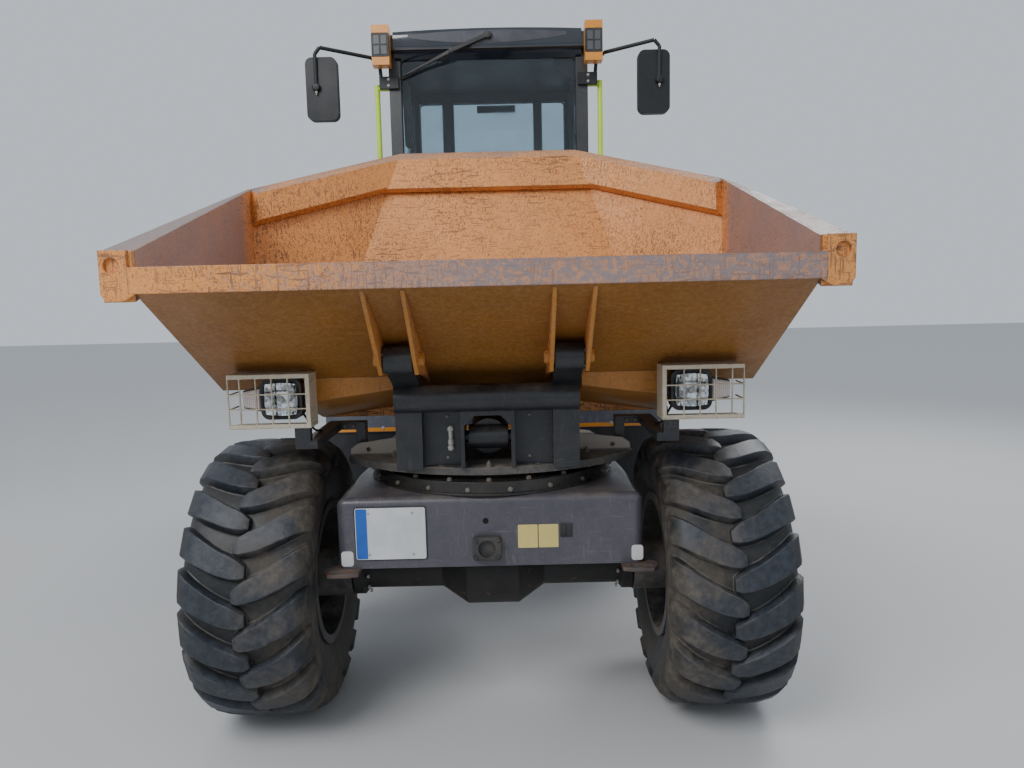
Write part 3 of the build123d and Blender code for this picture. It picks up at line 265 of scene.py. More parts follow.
tyre_profile = [(0.0, 0.543), (0.06, 0.542), (0.12, 0.539), (0.17, 0.533), (0.205, 0.520), (0.228, 0.500),
                (0.240, 0.474), (0.245, 0.440), (0.244, 0.400), (0.237, 0.366), (0.226, 0.338), (0.215,
                                                                                                 0.318),
                (0.2148, 0.310), (0.209, 0.300), (0.205, 0.2868)]
around = 120
lugs_each_side = 20
lug_path = [
    # along the casing from its middle, round the tread, height of the lug, half its width
    (-0.024, -0.074, 0.030, 0.022),
    (0.000, -0.066, 0.041, 0.035),
    (0.030, -0.056, 0.042, 0.042),
    (0.070, -0.042, 0.042, 0.046),
    (0.110, -0.022, 0.043, 0.050),
    (0.150, 0.002, 0.043, 0.054),
    (0.185, 0.028, 0.042, 0.057),
    (0.215, 0.050, 0.034, 0.059),
    (0.240, 0.064, 0.022, 0.058),
    (0.262, 0.074, 0.010, 0.053),
    (0.278, 0.080, 0.001, 0.046),
]


def along_casing(distance):
    """A point and its outward normal, at a distance along the casing from the tread's middle."""
    flip = -1 if distance < 0 else 1
    left = abs(distance)
    for (x0, r0), (x1, r1) in zip(tyre_profile, tyre_profile[1:]):
        run = hypot(x1 - x0, r1 - r0)
        if left <= run:
            t = left / run
            return flip * (x0 + t * (x1 - x0)), r0 + t * (r1 - r0), flip * (r0 - r1) / run, (x1 - x0) / run
        left -= run
    raise ValueError("beyond the bead")


def tyre_mesh():
    """Casing and lugs of one tyre about the origin, its axle along X."""
    verts, faces = [], []
    ring = [(x, r) for x, r in reversed(tyre_profile)] + [(-x, r) for x, r in tyre_profile[1:]]
    for k in range(around):
        a = 2 * pi * k / around
        verts += [(x, r * sin(a), r * cos(a)) for x, r in ring]
    n = len(ring)
    for k in range(around):
        after = (k + 1) % around
        for i in range(n - 1):
            faces.append((k * n + i, k * n + i + 1, after * n + i + 1, after * n + i))
        faces.append((k * n + n - 1, k * n, after * n, after * n + n - 1))
    for side in (1, -1):
        for index in range(lugs_each_side):
            middle = 2 * pi / lugs_each_side * (index + (0.5 if side < 0 else 0))
            first = len(verts)
            for along, round_tread, height, half in lug_path:
                x, r, nx, nr = along_casing(along)
                for across, lift in ((-half - 0.010, -0.006), (-half - 0.002, height * 0.72), (-half + 0.004, height),
                                     (half - 0.004, height), (half + 0.002, height * 0.72), (half + 0.010, -0.006)):
                    a = middle + (round_tread + across) / 0.56
                    radius = r + nr * lift
                    verts.append((side * (x + nx * lift), radius * sin(a), radius * cos(a)))
            rows = len(lug_path)
            for i in range(rows - 1):
                for j in range(5):
                    at = first + i * 6 + j
                    faces.append((at, at + 1, at + 7, at + 6))
            faces.append(tuple(first + j for j in range(6)))
            faces.append(tuple(first + (rows - 1) * 6 + j for j in reversed(range(6))))
    return verts, faces


tyre_verts, tyre_faces = tyre_mesh()
tyre_finishes = {}
for corner in ("front_left", "front_right", "rear_left", "rear_right"):
    low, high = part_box("tyre_" + corner)
    hub = (low + high) / 2
    axle = corner.split("_")[0]
    if axle not in tyre_finishes:
        tyre_finishes[axle] = tyre_rubber("tyre_rubber_" + axle, hub.y, hub.z)
    tyre = piece("tyre_shown_" + corner, [Vector(v) + hub for v in tyre_verts], tyre_faces,
                 tyre_finishes[axle], "wheel_" + corner, smooth=42)
    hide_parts("tyre_" + corner)


# Rims. Pressed and welded steel wheels in satin dark paint, bolted to the hub with ten nuts, with
# a smaller ring of bolts round the hub's cap. Stones have chipped them to rusty steel at the edges.
def scratches_group():
    """Fine straight scratches that cross in several directions, thick in some patches."""
    tree, given, end = start_group("scratches", {"Scale": 3.0, "Amount": 0.5, "Thin": 0.64})
    place = put(tree, "ShaderNodeTexCoord").outputs["Object"]
    total = None
    for turn, stretch in (((0.5, 0.6, 0.5), (26, 1.6, 9)), ((1.1, 0.3, -0.9), (1.5, 30, 11)),
                          ((-0.5, 2.3, 0.9), (12, 24, 1.4)), ((2.2, -0.4, 1.2), (28, 2.0, 20))):
        turned = put(tree, "ShaderNodeMapping", {"Vector": place, "Rotation": turn,
                                                 "Scale": stretch}).outputs[0]
        streaks = put(tree, "ShaderNodeTexNoise", {"Vector": turned, "Scale": given["Scale"], "Detail": 2,
                                                   "Roughness": 0.45, "Distortion": 0.7}).outputs[0]
        line = span(tree, streaks, given["Thin"], maths(tree, "ADD", given["Thin"], 0.03))
        total = maths(tree, "MAXIMUM", total, line) if total else line
    cloud = put(tree, "ShaderNodeTexNoise", {"Vector": place, "Scale": 2.6, "Detail": 6}).outputs[0]
    patch = span(tree, cloud, 0.30, 0.62, 0.25, 1.0)
    tree.links.new(maths(tree, "MULTIPLY", maths(tree, "MULTIPLY", total, patch), given["Amount"],
                         clamp=True), end)
    return tree


def specks_group():
    """Chips and rust specks of many sizes."""
    tree, given, end = start_group("specks", {"Scale": 28.0, "Cover": 0.35, "Amount": 1.0})
    place = put(tree, "ShaderNodeTexCoord").outputs["Object"]
    small = put(tree, "ShaderNodeTexNoise", {"Vector": place, "Scale": given["Scale"], "Detail": 10,
                                             "Roughness": 0.72}).outputs[0]
    where = put(tree, "ShaderNodeTexNoise", {"Vector": place, "Scale": 3.1, "Detail": 4}).outputs[0]
    level = maths(tree, "SUBTRACT", 0.86, maths(tree, "MULTIPLY", given["Cover"], 0.4))
    level = maths(tree, "SUBTRACT", level, maths(tree, "MULTIPLY", where, 0.12))
    tree.links.new(maths(tree, "MULTIPLY", span(tree, small, level, maths(tree, "ADD", level, 0.035)),
                         given["Amount"], clamp=True), end)
    return tree


scratches = scratches_group()
specks = specks_group()
road_dust = (0.30, 0.26, 0.21)
rust = (0.13, 0.055, 0.025)
bare_steel = (0.30, 0.28, 0.27)


def painted(name, colour, under=bare_steel, gloss=0.42, edges=0.7, scuffs=0.35, chips=0.3, dusty=0.35, upright=0.25,
            dull=0.8, clear=0.0):
    """Worn paint: uneven colour, scratches to an under-colour, rust specks, bare edges and dust."""
    finish, tree, shader = new_finish(name)
    shade = use(tree, mottle, Scale=2.2, Low=0.3, High=0.7)
    grain = use(tree, mottle, Scale=34.0, Low=0.35, High=0.7)
    base = blend_colour(tree, shade, [dull * c for c in colour], colour)
    base = blend_colour(tree, maths(tree, "MULTIPLY", grain, 0.16), base, [min(1,
                                                                               1.5 * c + 0.02) for c in colour])
    scuffed = use(tree, scratches, Scale=6.5, Amount=scuffs, Thin=0.655)
    base = blend_colour(tree, scuffed, base, under)
    chipped = use(tree, specks, Scale=46.0, Cover=chips, Amount=0.9)
    base = blend_colour(tree, chipped, base, rust)
    worn = use(tree, edge_wear, Width=0.005, Amount=edges, Scale=14.0)
    base = blend_colour(tree, worn, base, under)
    dirt = use(tree, dust, Amount=dusty, Scale=6.0, Upright=upright)
    base = blend_colour(tree, dirt, base, road_dust)
    tree.links.new(base, shader.inputs["Base Color"])
    rough = span(tree, shade, 0.0, 1.0, gloss + 0.1, gloss - 0.04)
    rough = maths(tree, "ADD", rough, maths(tree, "MULTIPLY", dirt, 0.45))
    rough = maths(tree, "ADD", rough, maths(tree, "MULTIPLY", chipped, 0.25), clamp=True)
    tree.links.new(rough, shader.inputs["Roughness"])
    tree.links.new(maths(tree, "MULTIPLY", maths(tree, "MAXIMUM", worn, scuffed), 0.55),
                   shader.inputs["Metallic"])
    shader.inputs["Coat Weight"].default_value = clear
    shader.inputs["Coat Roughness"].default_value = 0.22
    soft_edge = put(tree, "ShaderNodeBevel", {"Radius": 0.0035}, samples=4).outputs[0]
    marks = maths(tree, "ADD", maths(tree, "MULTIPLY", scuffed, -0.6), maths(tree, "MULTIPLY", chipped,
                                                                             -0.9))
    marks = maths(tree, "ADD", marks, maths(tree, "MULTIPLY", grain, 0.12))
    relief(tree, shader, marks, 0.0012, normal=soft_edge, strength=0.5)
    return finish


def coat(finish, *names):
    """Give CAD nodes one finish."""
    for name in names:
        nodes[name].data.materials.clear()
        nodes[name].data.materials.append(finish)


def hex_heads(spots, axis, across, tall, washer=0.0, stud=0.0):
    """Bolt heads at spots, standing along an axis: washer, chamfered hexagon and the thread's end."""
    verts, faces = [], []
    up = Vector(axis).normalized()
    right = up.orthogonal().normalized()
    front = up.cross(right)

    def ring(spot, radius, lift, sides, turn=0.0):
        first = len(verts)
        for k in range(sides):
            a = 2 * pi * k / sides + turn
            verts.append(Vector(spot) + right * (radius * cos(a)) + front * (radius * sin(a)) + up * lift)
        return list(range(first, first + sides))

    def skin(rings):
        for low, high in zip(rings, rings[1:]):
            count = len(low)
            faces.extend((low[k], low[(k + 1) % count], high[(k + 1) % count],
                          high[k]) for k in range(count))
        faces.append(tuple(rings[-1]))
        faces.append(tuple(reversed(rings[0])))

    for index, spot in enumerate(spots):
        turn = 0.37 * index
        base = 0.0
        if washer:
            skin([ring(spot, washer / 2, -0.001, 16), ring(spot, washer / 2, tall * 0.22, 16)])
            base = tall * 0.22
        outer = across / 2 / cos(pi / 6)
        skin([ring(spot, outer, base, 6, turn), ring(spot, outer, base + tall * 0.82, 6, turn),
              ring(spot, outer * 0.86, base + tall, 6, turn)])
        if stud:
            skin([ring(spot, across * 0.30, base + tall * 0.9, 12), ring(spot, across * 0.30,
                                                                         base + tall + stud, 12),
                  ring(spot, across * 0.24, base + tall + stud + 0.0015, 12)])
    return verts, faces


rim_finish = painted("rim_paint_worn", (0.040, 0.041, 0.046), under=(0.16, 0.11, 0.08), gloss=0.45,
                     edges=0.8, scuffs=0.4, chips=0.45, dusty=0.75, upright=0.6)
bolt_finish = painted("bolt_zinc", (0.42, 0.41, 0.38), under=(0.55, 0.54, 0.50), gloss=0.40, edges=0.6,
                      scuffs=0.1, chips=0.45, dusty=0.5, upright=0.3)
nut_circle = 0.130
cap_circle = 0.076
for corner in ("front_left", "front_right", "rear_left", "rear_right"):
    coat(rim_finish, "rim_" + corner)
    low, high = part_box("tyre_" + corner)
    hub = (low + high) / 2
    out = 1 if "left" in corner else -1
    nuts = [(hub.x + out * 0.040, hub.y + nut_circle * cos(a), hub.z + nut_circle * sin(a))
            for a in [2 * pi * k / 10 for k in range(10)]]
    caps = [(hub.x + out * 0.1249, hub.y + cap_circle * cos(a), hub.z + cap_circle * sin(a))
            for a in [2 * pi * k / 8 + 0.2 for k in range(8)]]
    verts, faces = hex_heads(nuts, (out, 0, 0), 0.027, 0.018, washer=0.036, stud=0.007)
    more, rest = hex_heads(caps + [(hub.x + out * 0.1249, hub.y, hub.z)], (out, 0, 0), 0.017, 0.009)
    faces += [tuple(i + len(verts) for i in face) for face in rest]
    piece("wheel_nuts_" + corner, verts + more, faces, bolt_finish, "wheel_" + corner)


# Axles. Cast housings with the differential in the middle and forged flanges at the hubs, bolted up to
# the frames through tall pads. They carry dried mud and have never been cleaned. Iron and mud are both
# painted near black as the shade under the chassis above them.
def casting(name, colour, dirt, rusty=0.3, cake=0.7, greasy=0.0):
    """Rough cast iron under dirt that hangs on every face."""
    finish, tree, shader = new_finish(name)
    shade = use(tree, mottle, Scale=4.5, Low=0.3, High=0.7)
    base = blend_colour(tree, shade, [0.7 * c for c in colour], [1.25 * c for c in colour])
    rusted = use(tree, specks, Scale=12.0, Cover=rusty + 0.35, Amount=0.8)
    base = blend_colour(tree, rusted, base, rust)
    caked = use(tree, dust, Amount=cake, Scale=8.0, Upright=0.75)
    base = blend_colour(tree, caked, base, dirt)
    tree.links.new(base, shader.inputs["Base Color"])
    tree.links.new(span(tree, caked, 0.0, 1.0, 0.62 - 0.35 * greasy, 0.93 - 0.4 * greasy),
                   shader.inputs["Roughness"])
    lumps = put(tree, "ShaderNodeTexNoise", {"Scale": 55, "Detail": 8, "Roughness": 0.7,
                                             "Vector": put(tree,
                                                           "ShaderNodeTexCoord").outputs["Object"]}).outputs[0]
    soft_edge = put(tree, "ShaderNodeBevel", {"Radius": 0.006}, samples=4).outputs[0]
    relief(tree, shader, maths(tree, "ADD", lumps, maths(tree, "MULTIPLY", caked, 0.5)), 0.004,
           normal=soft_edge, strength=0.6)
    return finish


# Near-black iron and mud: painted shade from the bumper and chassis above the axles.
axle_shaded_finish = casting("axle_cast_muddy_shaded", (0.014, 0.013, 0.013), (0.050, 0.043, 0.036), rusty=0.10, cake=0.6)
coat(axle_shaded_finish, "front_axle", "rear_axle")
for axle, body in (("front_axle", "front_unit"), ("rear_axle", "rear_unit")):
    low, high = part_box("tyre_" + axle.split("_")[0] + "_left")
    middle_y = (low.y + high.y) / 2
    middle_z = (low.z + high.z) / 2
    verts, faces = [], []
    for side in (1, -1):
        flange = [(side * 0.541, middle_y + 0.092 * cos(a), middle_z + 0.092 * sin(a))
                  for a in [2 * pi * k / 10 for k in range(10)]]
        more, rest = hex_heads(flange, (-side, 0, 0), 0.015, 0.010)
        faces += [tuple(i + len(verts) for i in face) for face in rest]
        verts += more
    piece(axle + "_bolts", verts, faces, bolt_finish, body)


# Front chassis. A welded box of steel plate in satin purple-grey paint, with the number plate, blank
# labels, a small square vent and a centre hole in its front plate. Stones have scratched it all over.
chassis_finish = painted("chassis_paint_purple_grey", (0.074, 0.070, 0.088), under=(0.20, 0.185, 0.195),
                         gloss=0.33, edges=0.9, scuffs=0.32, chips=0.28, dusty=0.35, upright=0.10,
                         clear=0.2)
coat(chassis_finish, "front_chassis", "centre_block", "rear_chassis", "counterweight", "steps")
bumper_face_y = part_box("front_chassis")[0].y


def rounded_plate(name, x0, x1, z0, z1, y, thick, corner, finish, body, steps=5):
    """A thin upright plate with rounded corners that stands proud of a face towards the front."""
    verts, faces = [], []
    outline = []
    for cx, cz, start in ((x1 - corner, z1 - corner, 0), (x0 + corner, z1 - corner, 90),
                          (x0 + corner, z0 + corner, 180), (x1 - corner, z0 + corner, 270)):
        for k in range(steps + 1):
            a = radians(start + 90 * k / steps)
            outline.append((cx + corner * cos(a), cz + corner * sin(a)))
    count = len(outline)
    verts = [(x, y, z) for x, z in outline] + [(x, y - thick, z) for x, z in outline]
    faces = [(k, (k + 1) % count, count + (k + 1) % count, count + k) for k in range(count)]
    faces += [tuple(range(count)), tuple(range(2 * count - 1, count - 1, -1))]
    return piece(name, verts, faces, finish, body)


def label_finish(name, colour, rough=0.35, grubby=0.2):
    """Printed film or pressed plate with a light film of dirt."""
    finish, tree, shader = new_finish(name)
    grime = use(tree, specks, Scale=40.0, Cover=grubby + 0.2, Amount=0.4)
    shade = use(tree, mottle, Scale=9.0, Low=0.3, High=0.75)
    base = blend_colour(tree, shade, [0.82 * c for c in colour], colour)
    tree.links.new(blend_colour(tree, grime, base, (0.12, 0.10, 0.08)), shader.inputs["Base Color"])
    tree.links.new(span(tree, shade, 0.0, 1.0, rough + 0.15, rough), shader.inputs["Roughness"])
    relief(tree, shader, shade, 0.0004, strength=0.3)
    return finish


plate_white = label_finish("plate_white", (0.66, 0.67, 0.68), 0.30)
plate_blue = label_finish("plate_blue", (0.018, 0.12, 0.52), 0.30)
label_yellow = label_finish("label_yellow", (0.74, 0.60, 0.20), 0.40)
sticker_white = label_finish("sticker_white", (0.72, 0.72, 0.71), 0.42)
black_trim = painted("black_trim", (0.014, 0.014, 0.016), under=(0.10, 0.10, 0.11), gloss=0.45, edges=0.4,
                     scuffs=0.2, chips=0.1, dusty=0.4)
front = bumper_face_y
rounded_plate("number_plate_backing", -0.537, -0.251, 0.735, 0.952, front, 0.004, 0.010, black_trim,
              "front_unit")
rounded_plate("number_plate", -0.533, -0.255, 0.739, 0.948, front - 0.004, 0.002, 0.008, plate_white,
              "front_unit")
rounded_plate("number_plate_band", -0.530, -0.486, 0.742, 0.945, front - 0.006, 0.0006, 0.005, plate_blue,
              "front_unit")
for x0, x1 in ((0.110, 0.188), (0.192, 0.270)):
    rounded_plate("yellow_label_%d" % round(1000 * x0), x0, x1, 0.772, 0.866, front, 0.0008, 0.004,
                  label_yellow, "front_unit")
for x0, x1 in ((0.560, 0.606), (-0.594, -0.546)):
    rounded_plate("white_sticker_%s" % ("left" if x0 > 0 else "right"), x0, x1, 0.711, 0.773, front,
                  0.0008, 0.012, sticker_white, "front_unit")
rounded_plate("vent_frame", 0.278, 0.325, 0.814, 0.869, front, 0.004, 0.003, black_trim, "front_unit")
for column in (0, 1):
    for row in (0, 1):
        x0, z0 = 0.2815 + 0.0215 * column, 0.8175 + 0.0255 * row
        rounded_plate("vent_square_%d%d" % (column, row), x0, x0 + 0.0185, z0, z0 + 0.0225, front - 0.004,
                      0.002, 0.002, black_trim, "front_unit")
# The centre hole is a near-black disc on the face: painted shade standing for the hole's depth.
hole_painted_shade = label_finish("hole_painted_shade", (0.004, 0.004, 0.004), 0.8, 0.0)
rounded_plate("centre_hole", -0.029, -0.005, 0.873, 0.897, front, 0.0006, 0.0119, hole_painted_shade, "front_unit",
              steps=8)
plate_screws = [(x, front - 0.006, z) for x in (-0.480, -0.306) for z in (0.760, 0.927)]
verts, faces = hex_heads(plate_screws, (0, -1, 0), 0.008, 0.003)
piece("number_plate_screws", verts, faces, bolt_finish, "front_unit")


# Lashing eyes and the tow socket. Thick flame-cut eyes stand under the bumper's corners, bare and
# rusty brown; the cast socket in the middle of the bumper takes a towing pin.
eye_finish = casting("lash_eye_rusty", (0.085, 0.070, 0.064), (0.170, 0.130, 0.105), rusty=0.30, cake=0.6)
coat(eye_finish, "lash_eyes")
socket_finish = casting("socket_black_iron", (0.030, 0.030, 0.032), mud, rusty=0.2, cake=0.4)
coat(socket_finish, "tow_socket")
low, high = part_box("tow_socket")
socket_bolts = [(x, low.y, z) for x in (low.x + 0.013, high.x - 0.013) for z in (low.z + 0.013,
                                                                                 high.z - 0.013)]
verts, faces = hex_heads(socket_bolts, (0, -1, 0), 0.013, 0.007)
piece("tow_socket_bolts", verts, faces, socket_finish, "front_unit")


# Slewing ring. A forged ring black with grease, held by twenty bolts down into the deck. Twenty
# more heads stand round its side, and a thin flange closes its foot.
ring_finish = casting("slew_ring_greasy", (0.020, 0.019, 0.018), (0.060, 0.050, 0.040), rusty=0.0, cake=0.6,
                      greasy=1.0)
coat(ring_finish, "slew_ring")
ring_low, ring_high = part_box("slew_ring")
plate_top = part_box("turntable_frame")[0].z
ring_middle = (ring_low + ring_high) / 2
ring_reach = (ring_high.x - ring_low.x) / 2
bolt_steel = painted("bolt_dusty_brown", (0.150, 0.130, 0.110), under=(0.34, 0.31, 0.27), gloss=0.5,
                     edges=0.7, scuffs=0.1, chips=0.5, dusty=0.6, upright=0.4)
ring_bolts = 20


def bolt_circle(radius, z, count, turn=0.0):
    """Places round the slewing ring's middle."""
    angles = [2 * pi * k / count + turn for k in range(count)]
    return [(ring_middle.x + radius * cos(a), ring_middle.y + radius * sin(a), z) for a in angles]


verts, faces = hex_heads(bolt_circle(ring_reach - 0.024, ring_high.z, ring_bolts), (0, 0, 1), 0.017,
                         0.009, washer=0.024)
piece("ring_deck_bolts", verts, faces, bolt_steel, "front_unit")
outer_rows = []
for k in range(ring_bolts):
    a = 2 * pi * (k + 0.5) / ring_bolts
    outer_rows.append(((ring_middle.x + ring_reach * cos(a), ring_middle.y + ring_reach * sin(a),
                        ring_low.z + 0.024), (cos(a), sin(a), 0)))
verts, faces = [], []
for spot, axis in outer_rows:
    more, rest = hex_heads([spot], axis, 0.015, 0.007, washer=0.020)
    faces += [tuple(i + len(verts) for i in face) for face in rest]
    verts += more
piece("ring_side_bolts", verts, faces, bolt_steel, "front_unit")
verts, faces = [], []
sides = 96
for radius, z in ((ring_reach - 0.004, ring_low.z), (ring_reach + 0.007, ring_low.z), (ring_reach + 0.007, ring_low.z + 0.009),
                  (ring_reach - 0.004, ring_low.z + 0.010)):
    verts += bolt_circle(radius, z, sides)
for r in range(4):
    faces += [(r * sides + k, r * sides + (k + 1) % sides, (r + 1) % 4 * sides + (k + 1) % sides, (r + 1) % 4 * sides + k)
              for k in range(sides)]
piece("ring_bottom_flange", verts, faces, ring_finish, "front_unit", smooth=40)


# Turntable. A thick plate with upright lifting ears carries two tall towers of black-painted plate,
# joined by a cross tube. The ears are painted pale beige, and studs with nuts stand along its front.
plate_finish = painted("slew_plate_dusty", (0.088, 0.084, 0.082), under=(0.42, 0.37, 0.31), gloss=0.55,
                       edges=1.0, scuffs=0.3, chips=0.35, dusty=1.0, upright=0.30, dull=0.6)
tree = plate_finish.node_tree
shader = tree.nodes["Principled BSDF"]
worn_paint = shader.inputs["Base Color"].links[0].from_socket
plate_place = put(tree, "ShaderNodeSeparateXYZ", {0: put(tree, "ShaderNodeTexCoord").outputs["Object"]})
# Faces above the plate's top, the ears, are painted pale beige.
on_ears = maths(tree, "MULTIPLY", span(tree, plate_place.outputs[2], plate_top + 0.002,
                                       plate_top + 0.012), 0.72)
pale_ears = blend_colour(tree, on_ears, worn_paint, (0.47, 0.42, 0.36))
tree.links.new(pale_ears, shader.inputs["Base Color"])
coat(plate_finish, "slew_plate")
frame_finish = painted("frame_paint_black", (0.012, 0.014, 0.019), under=(0.13, 0.11, 0.10), gloss=0.34,
                       edges=0.6, scuffs=0.22, chips=0.26, dusty=0.35, upright=0.10, clear=0.2)
coat(frame_finish, "turntable_frame", "lamp_arms", "steer_barrel_left", "steer_barrel_right",
     "tip_ram_barrel", "cab_mounts")
front_studs = []
for k in range(-7, 8):
    a = radians(-90 + 12.2 * k)
    reach = 0.475 if abs(k) < 7 else 0.46
    spot = (ring_middle.x + reach * cos(a), ring_middle.y + reach * sin(a), plate_top)
    under_tower = 0.24 < abs(spot[0]) < 0.385 and spot[1] > -1.83
    if not under_tower and spot[1] < -1.30 and not (abs(spot[0]) < 0.13 and spot[1] > -1.76):
        front_studs.append(spot)
verts, faces = hex_heads(front_studs, (0, 0, 1), 0.019, 0.012, washer=0.027, stud=0.007)
piece("turntable_studs", verts, faces, bolt_steel, "turntable")
for side in (1, -1):
    face_spots = [(side * 0.165, -1.7453, 1.125), (side * 0.165, -1.7453, 1.293)]
    verts, faces = hex_heads(face_spots, (0, -1, 0), 0.012, 0.006)
    piece("recess_bolts_" + ("left" if side > 0 else "right"), verts, faces, bolt_steel, "turntable")
    caps = [(side * 0.3625, -2.000 + 0.036 * cos(a), 1.5448 + 0.036 * sin(a)) for a in (0.4, 2.5, 4.6)]
    verts, faces = hex_heads(caps, (side, 0, 0), 0.012, 0.007)
    piece("tip_pin_bolts_" + ("left" if side > 0 else "right"), verts, faces, bolt_finish, "turntable")
fitting_x, fitting_y = -0.151, -1.7453
verts, faces = [], []
for spot, axis, across, tall in (((fitting_x, fitting_y, 1.243), (0, -1, 0), 0.024, 0.024),
                                 ((fitting_x, fitting_y - 0.013, 1.238), (0, 0, -1), 0.016, 0.040),
                                 ((fitting_x, fitting_y - 0.013, 1.200), (0, 0, -1), 0.021, 0.022),
                                 ((fitting_x, fitting_y, 1.166), (0, -1, 0), 0.024, 0.022)):
    more, rest = hex_heads([spot], axis, across, tall, stud=0.004)
    faces += [tuple(i + len(verts) for i in face) for face in rest]
    verts += more
piece("grease_fitting", verts, faces, bolt_finish, "turntable")


# Skip. Folded and welded sheet, orange outside and in. Loads of stone have scratched the inside and the
# lip down to dark steel; the rims and side walls are worn purple-grey, the underside is smoother. Faces that
# look away from the skip's middle, the underside most, are painted deep brown-orange as shade.
def skip_paint(name, gloss=0.40, outside_shade_scale=1.0, walls=0.0, all_round=0.0, worn_from=9.0, worn_to=10.0):
    """Orange paint with a crackle of dark scratches where the load rubs, and walls worn to purple-grey.
    The load rubs faces that look at the skip's middle, or all faces; from worn_from to worn_to in X it is bare.
    Faces that look away from the middle get a deep brown-orange, a painted shade."""
    finish, tree, shader = new_finish(name)
    coordinates = put(tree, "ShaderNodeTexCoord")
    place, true_face = coordinates.outputs["Object"], coordinates.outputs["Normal"]
    inward = put(tree, "ShaderNodeVectorMath", {0: (0, -1.45, 2.20), 1: place},
                 operation="SUBTRACT").outputs[0]
    facing = put(tree, "ShaderNodeVectorMath", {0: inward, 1: true_face},
                 operation="DOT_PRODUCT").outputs["Value"]
    inside = maths(tree, "MAXIMUM", span(tree, facing, -0.05, 0.05), all_round)
    orange = (0.80, 0.315, 0.075)
    # deep is the painted shade of the faces that look away from the skip's middle, scaled for each finish.
    deep = (0.33 * outside_shade_scale, 0.128 * outside_shade_scale, 0.013 * outside_shade_scale)
    shade = use(tree, mottle, Scale=1.6, Low=0.3, High=0.7)
    fine = use(tree, mottle, Scale=60.0, Low=0.35, High=0.7)
    rubbed = blend_colour(tree, shade, [0.88 * c for c in orange], orange)
    outer = blend_colour(tree, shade, [0.74 * c for c in deep], deep)
    base = blend_colour(tree, inside, outer, rubbed)
    base = blend_colour(tree, maths(tree, "MULTIPLY", fine, 0.22), base, (0.62, 0.33, 0.15))
    short_cuts = use(tree, scratches, Scale=9.0, Amount=1.0, Thin=0.612)
    long_cuts = use(tree, scratches, Scale=4.2, Amount=0.7, Thin=0.672)
    knocks = use(tree, specks, Scale=78.0, Cover=0.54, Amount=0.9)
    marks = maths(tree, "MAXIMUM", maths(tree, "MAXIMUM", long_cuts, short_cuts), knocks)
    marks_in = maths(tree, "MULTIPLY", marks, inside)
    few = maths(tree, "MULTIPLY", use(tree, specks, Scale=26.0, Cover=0.22, Amount=0.9),
                maths(tree, "SUBTRACT", 1.0, inside))
    base = blend_colour(tree, maths(tree, "MULTIPLY", marks_in, 0.80), base, (0.150, 0.060, 0.034))
    rubs = maths(tree, "MULTIPLY", maths(tree, "SUBTRACT", marks, marks_in), 0.30)
    base = blend_colour(tree, maths(tree, "MAXIMUM", rubs, few), base, (0.120, 0.050, 0.026))
    cloud = use(tree, mottle, Scale=3.0, Low=0.30, High=0.70)
    flakes = use(tree, mottle, Scale=48.0, Low=0.40, High=0.62)
    axes = put(tree, "ShaderNodeSeparateXYZ", {0: true_face})
    spots = put(tree, "ShaderNodeSeparateXYZ", {0: place})
    spread = spots.outputs[0]
    wall = span(tree, maths(tree, "ABSOLUTE", axes.outputs[0]), 0.45, 0.70)
    wall = maths(tree, "MULTIPLY", maths(tree, "MULTIPLY", wall, inside), walls)
    wall = maths(tree, "MULTIPLY", wall, span(tree, spots.outputs[1], -1.04, -1.26))
    wall = maths(tree, "MULTIPLY", wall, span(tree, cloud, 0.0, 1.0, 0.82, 1.0))
    floor = maths(tree, "MULTIPLY", span(tree, axes.outputs[2], 0.70, 0.95), inside)
    floor = maths(tree, "MULTIPLY", floor, span(tree, maths(tree, "ADD", cloud, marks), 0.35, 1.0, 0.10,
                                                0.75))
    wall = maths(tree, "MAXIMUM", wall, maths(tree, "MULTIPLY", floor, walls))
    if walls:
        sides = span(tree, maths(tree, "ABSOLUTE", spread), 1.02, 1.12)
        wall = maths(tree, "MAXIMUM", wall, maths(tree, "MULTIPLY", sides, span(tree, axes.outputs[2],
                                                                                0.2, 0.6)))
    bare = span(tree, maths(tree, "ADD", spread, maths(tree, "MULTIPLY", flakes, 0.55)), worn_from, worn_to)
    bare = maths(tree, "MULTIPLY", bare, span(tree, flakes, 0.0, 1.0, 1.0, 0.55))
    wall = maths(tree, "MAXIMUM", wall, bare)
    steel = blend_colour(tree, maths(tree, "MULTIPLY", marks, 0.22), (0.300, 0.232, 0.230), (0.130, 0.090,
                                                                                             0.085))
    base = blend_colour(tree, wall, base, steel)
    worn = use(tree, edge_wear, Width=0.008, Amount=0.75, Scale=10.0)
    base = blend_colour(tree, worn, base, (0.20, 0.145, 0.135))
    dirt = use(tree, dust, Amount=0.25, Scale=5.0, Upright=0.15)
    base = blend_colour(tree, dirt, base, (0.36, 0.27, 0.18))
    tree.links.new(base, shader.inputs["Base Color"])
    rough = maths(tree, "ADD", span(tree, shade, 0, 1, gloss + 0.12, gloss), maths(tree, "MULTIPLY",
                                                                                   marks_in, 0.18))
    rough = maths(tree, "ADD", rough, maths(tree, "MULTIPLY", dirt, 0.4), clamp=True)
    tree.links.new(rough, shader.inputs["Roughness"])
    tree.links.new(maths(tree, "MULTIPLY", maths(tree, "MAXIMUM", wall, worn), 0.35),
                   shader.inputs["Metallic"])
    dents = put(tree, "ShaderNodeTexNoise", {"Vector": place, "Scale": 5.5, "Detail": 3}).outputs[0]
    soft_edge = put(tree, "ShaderNodeBevel", {"Radius": 0.005}, samples=4).outputs[0]
    height = maths(tree, "ADD", maths(tree, "MULTIPLY", marks_in, -0.05), dents)
    relief(tree, shader, height, 0.014, normal=soft_edge, strength=0.6)
    return finish


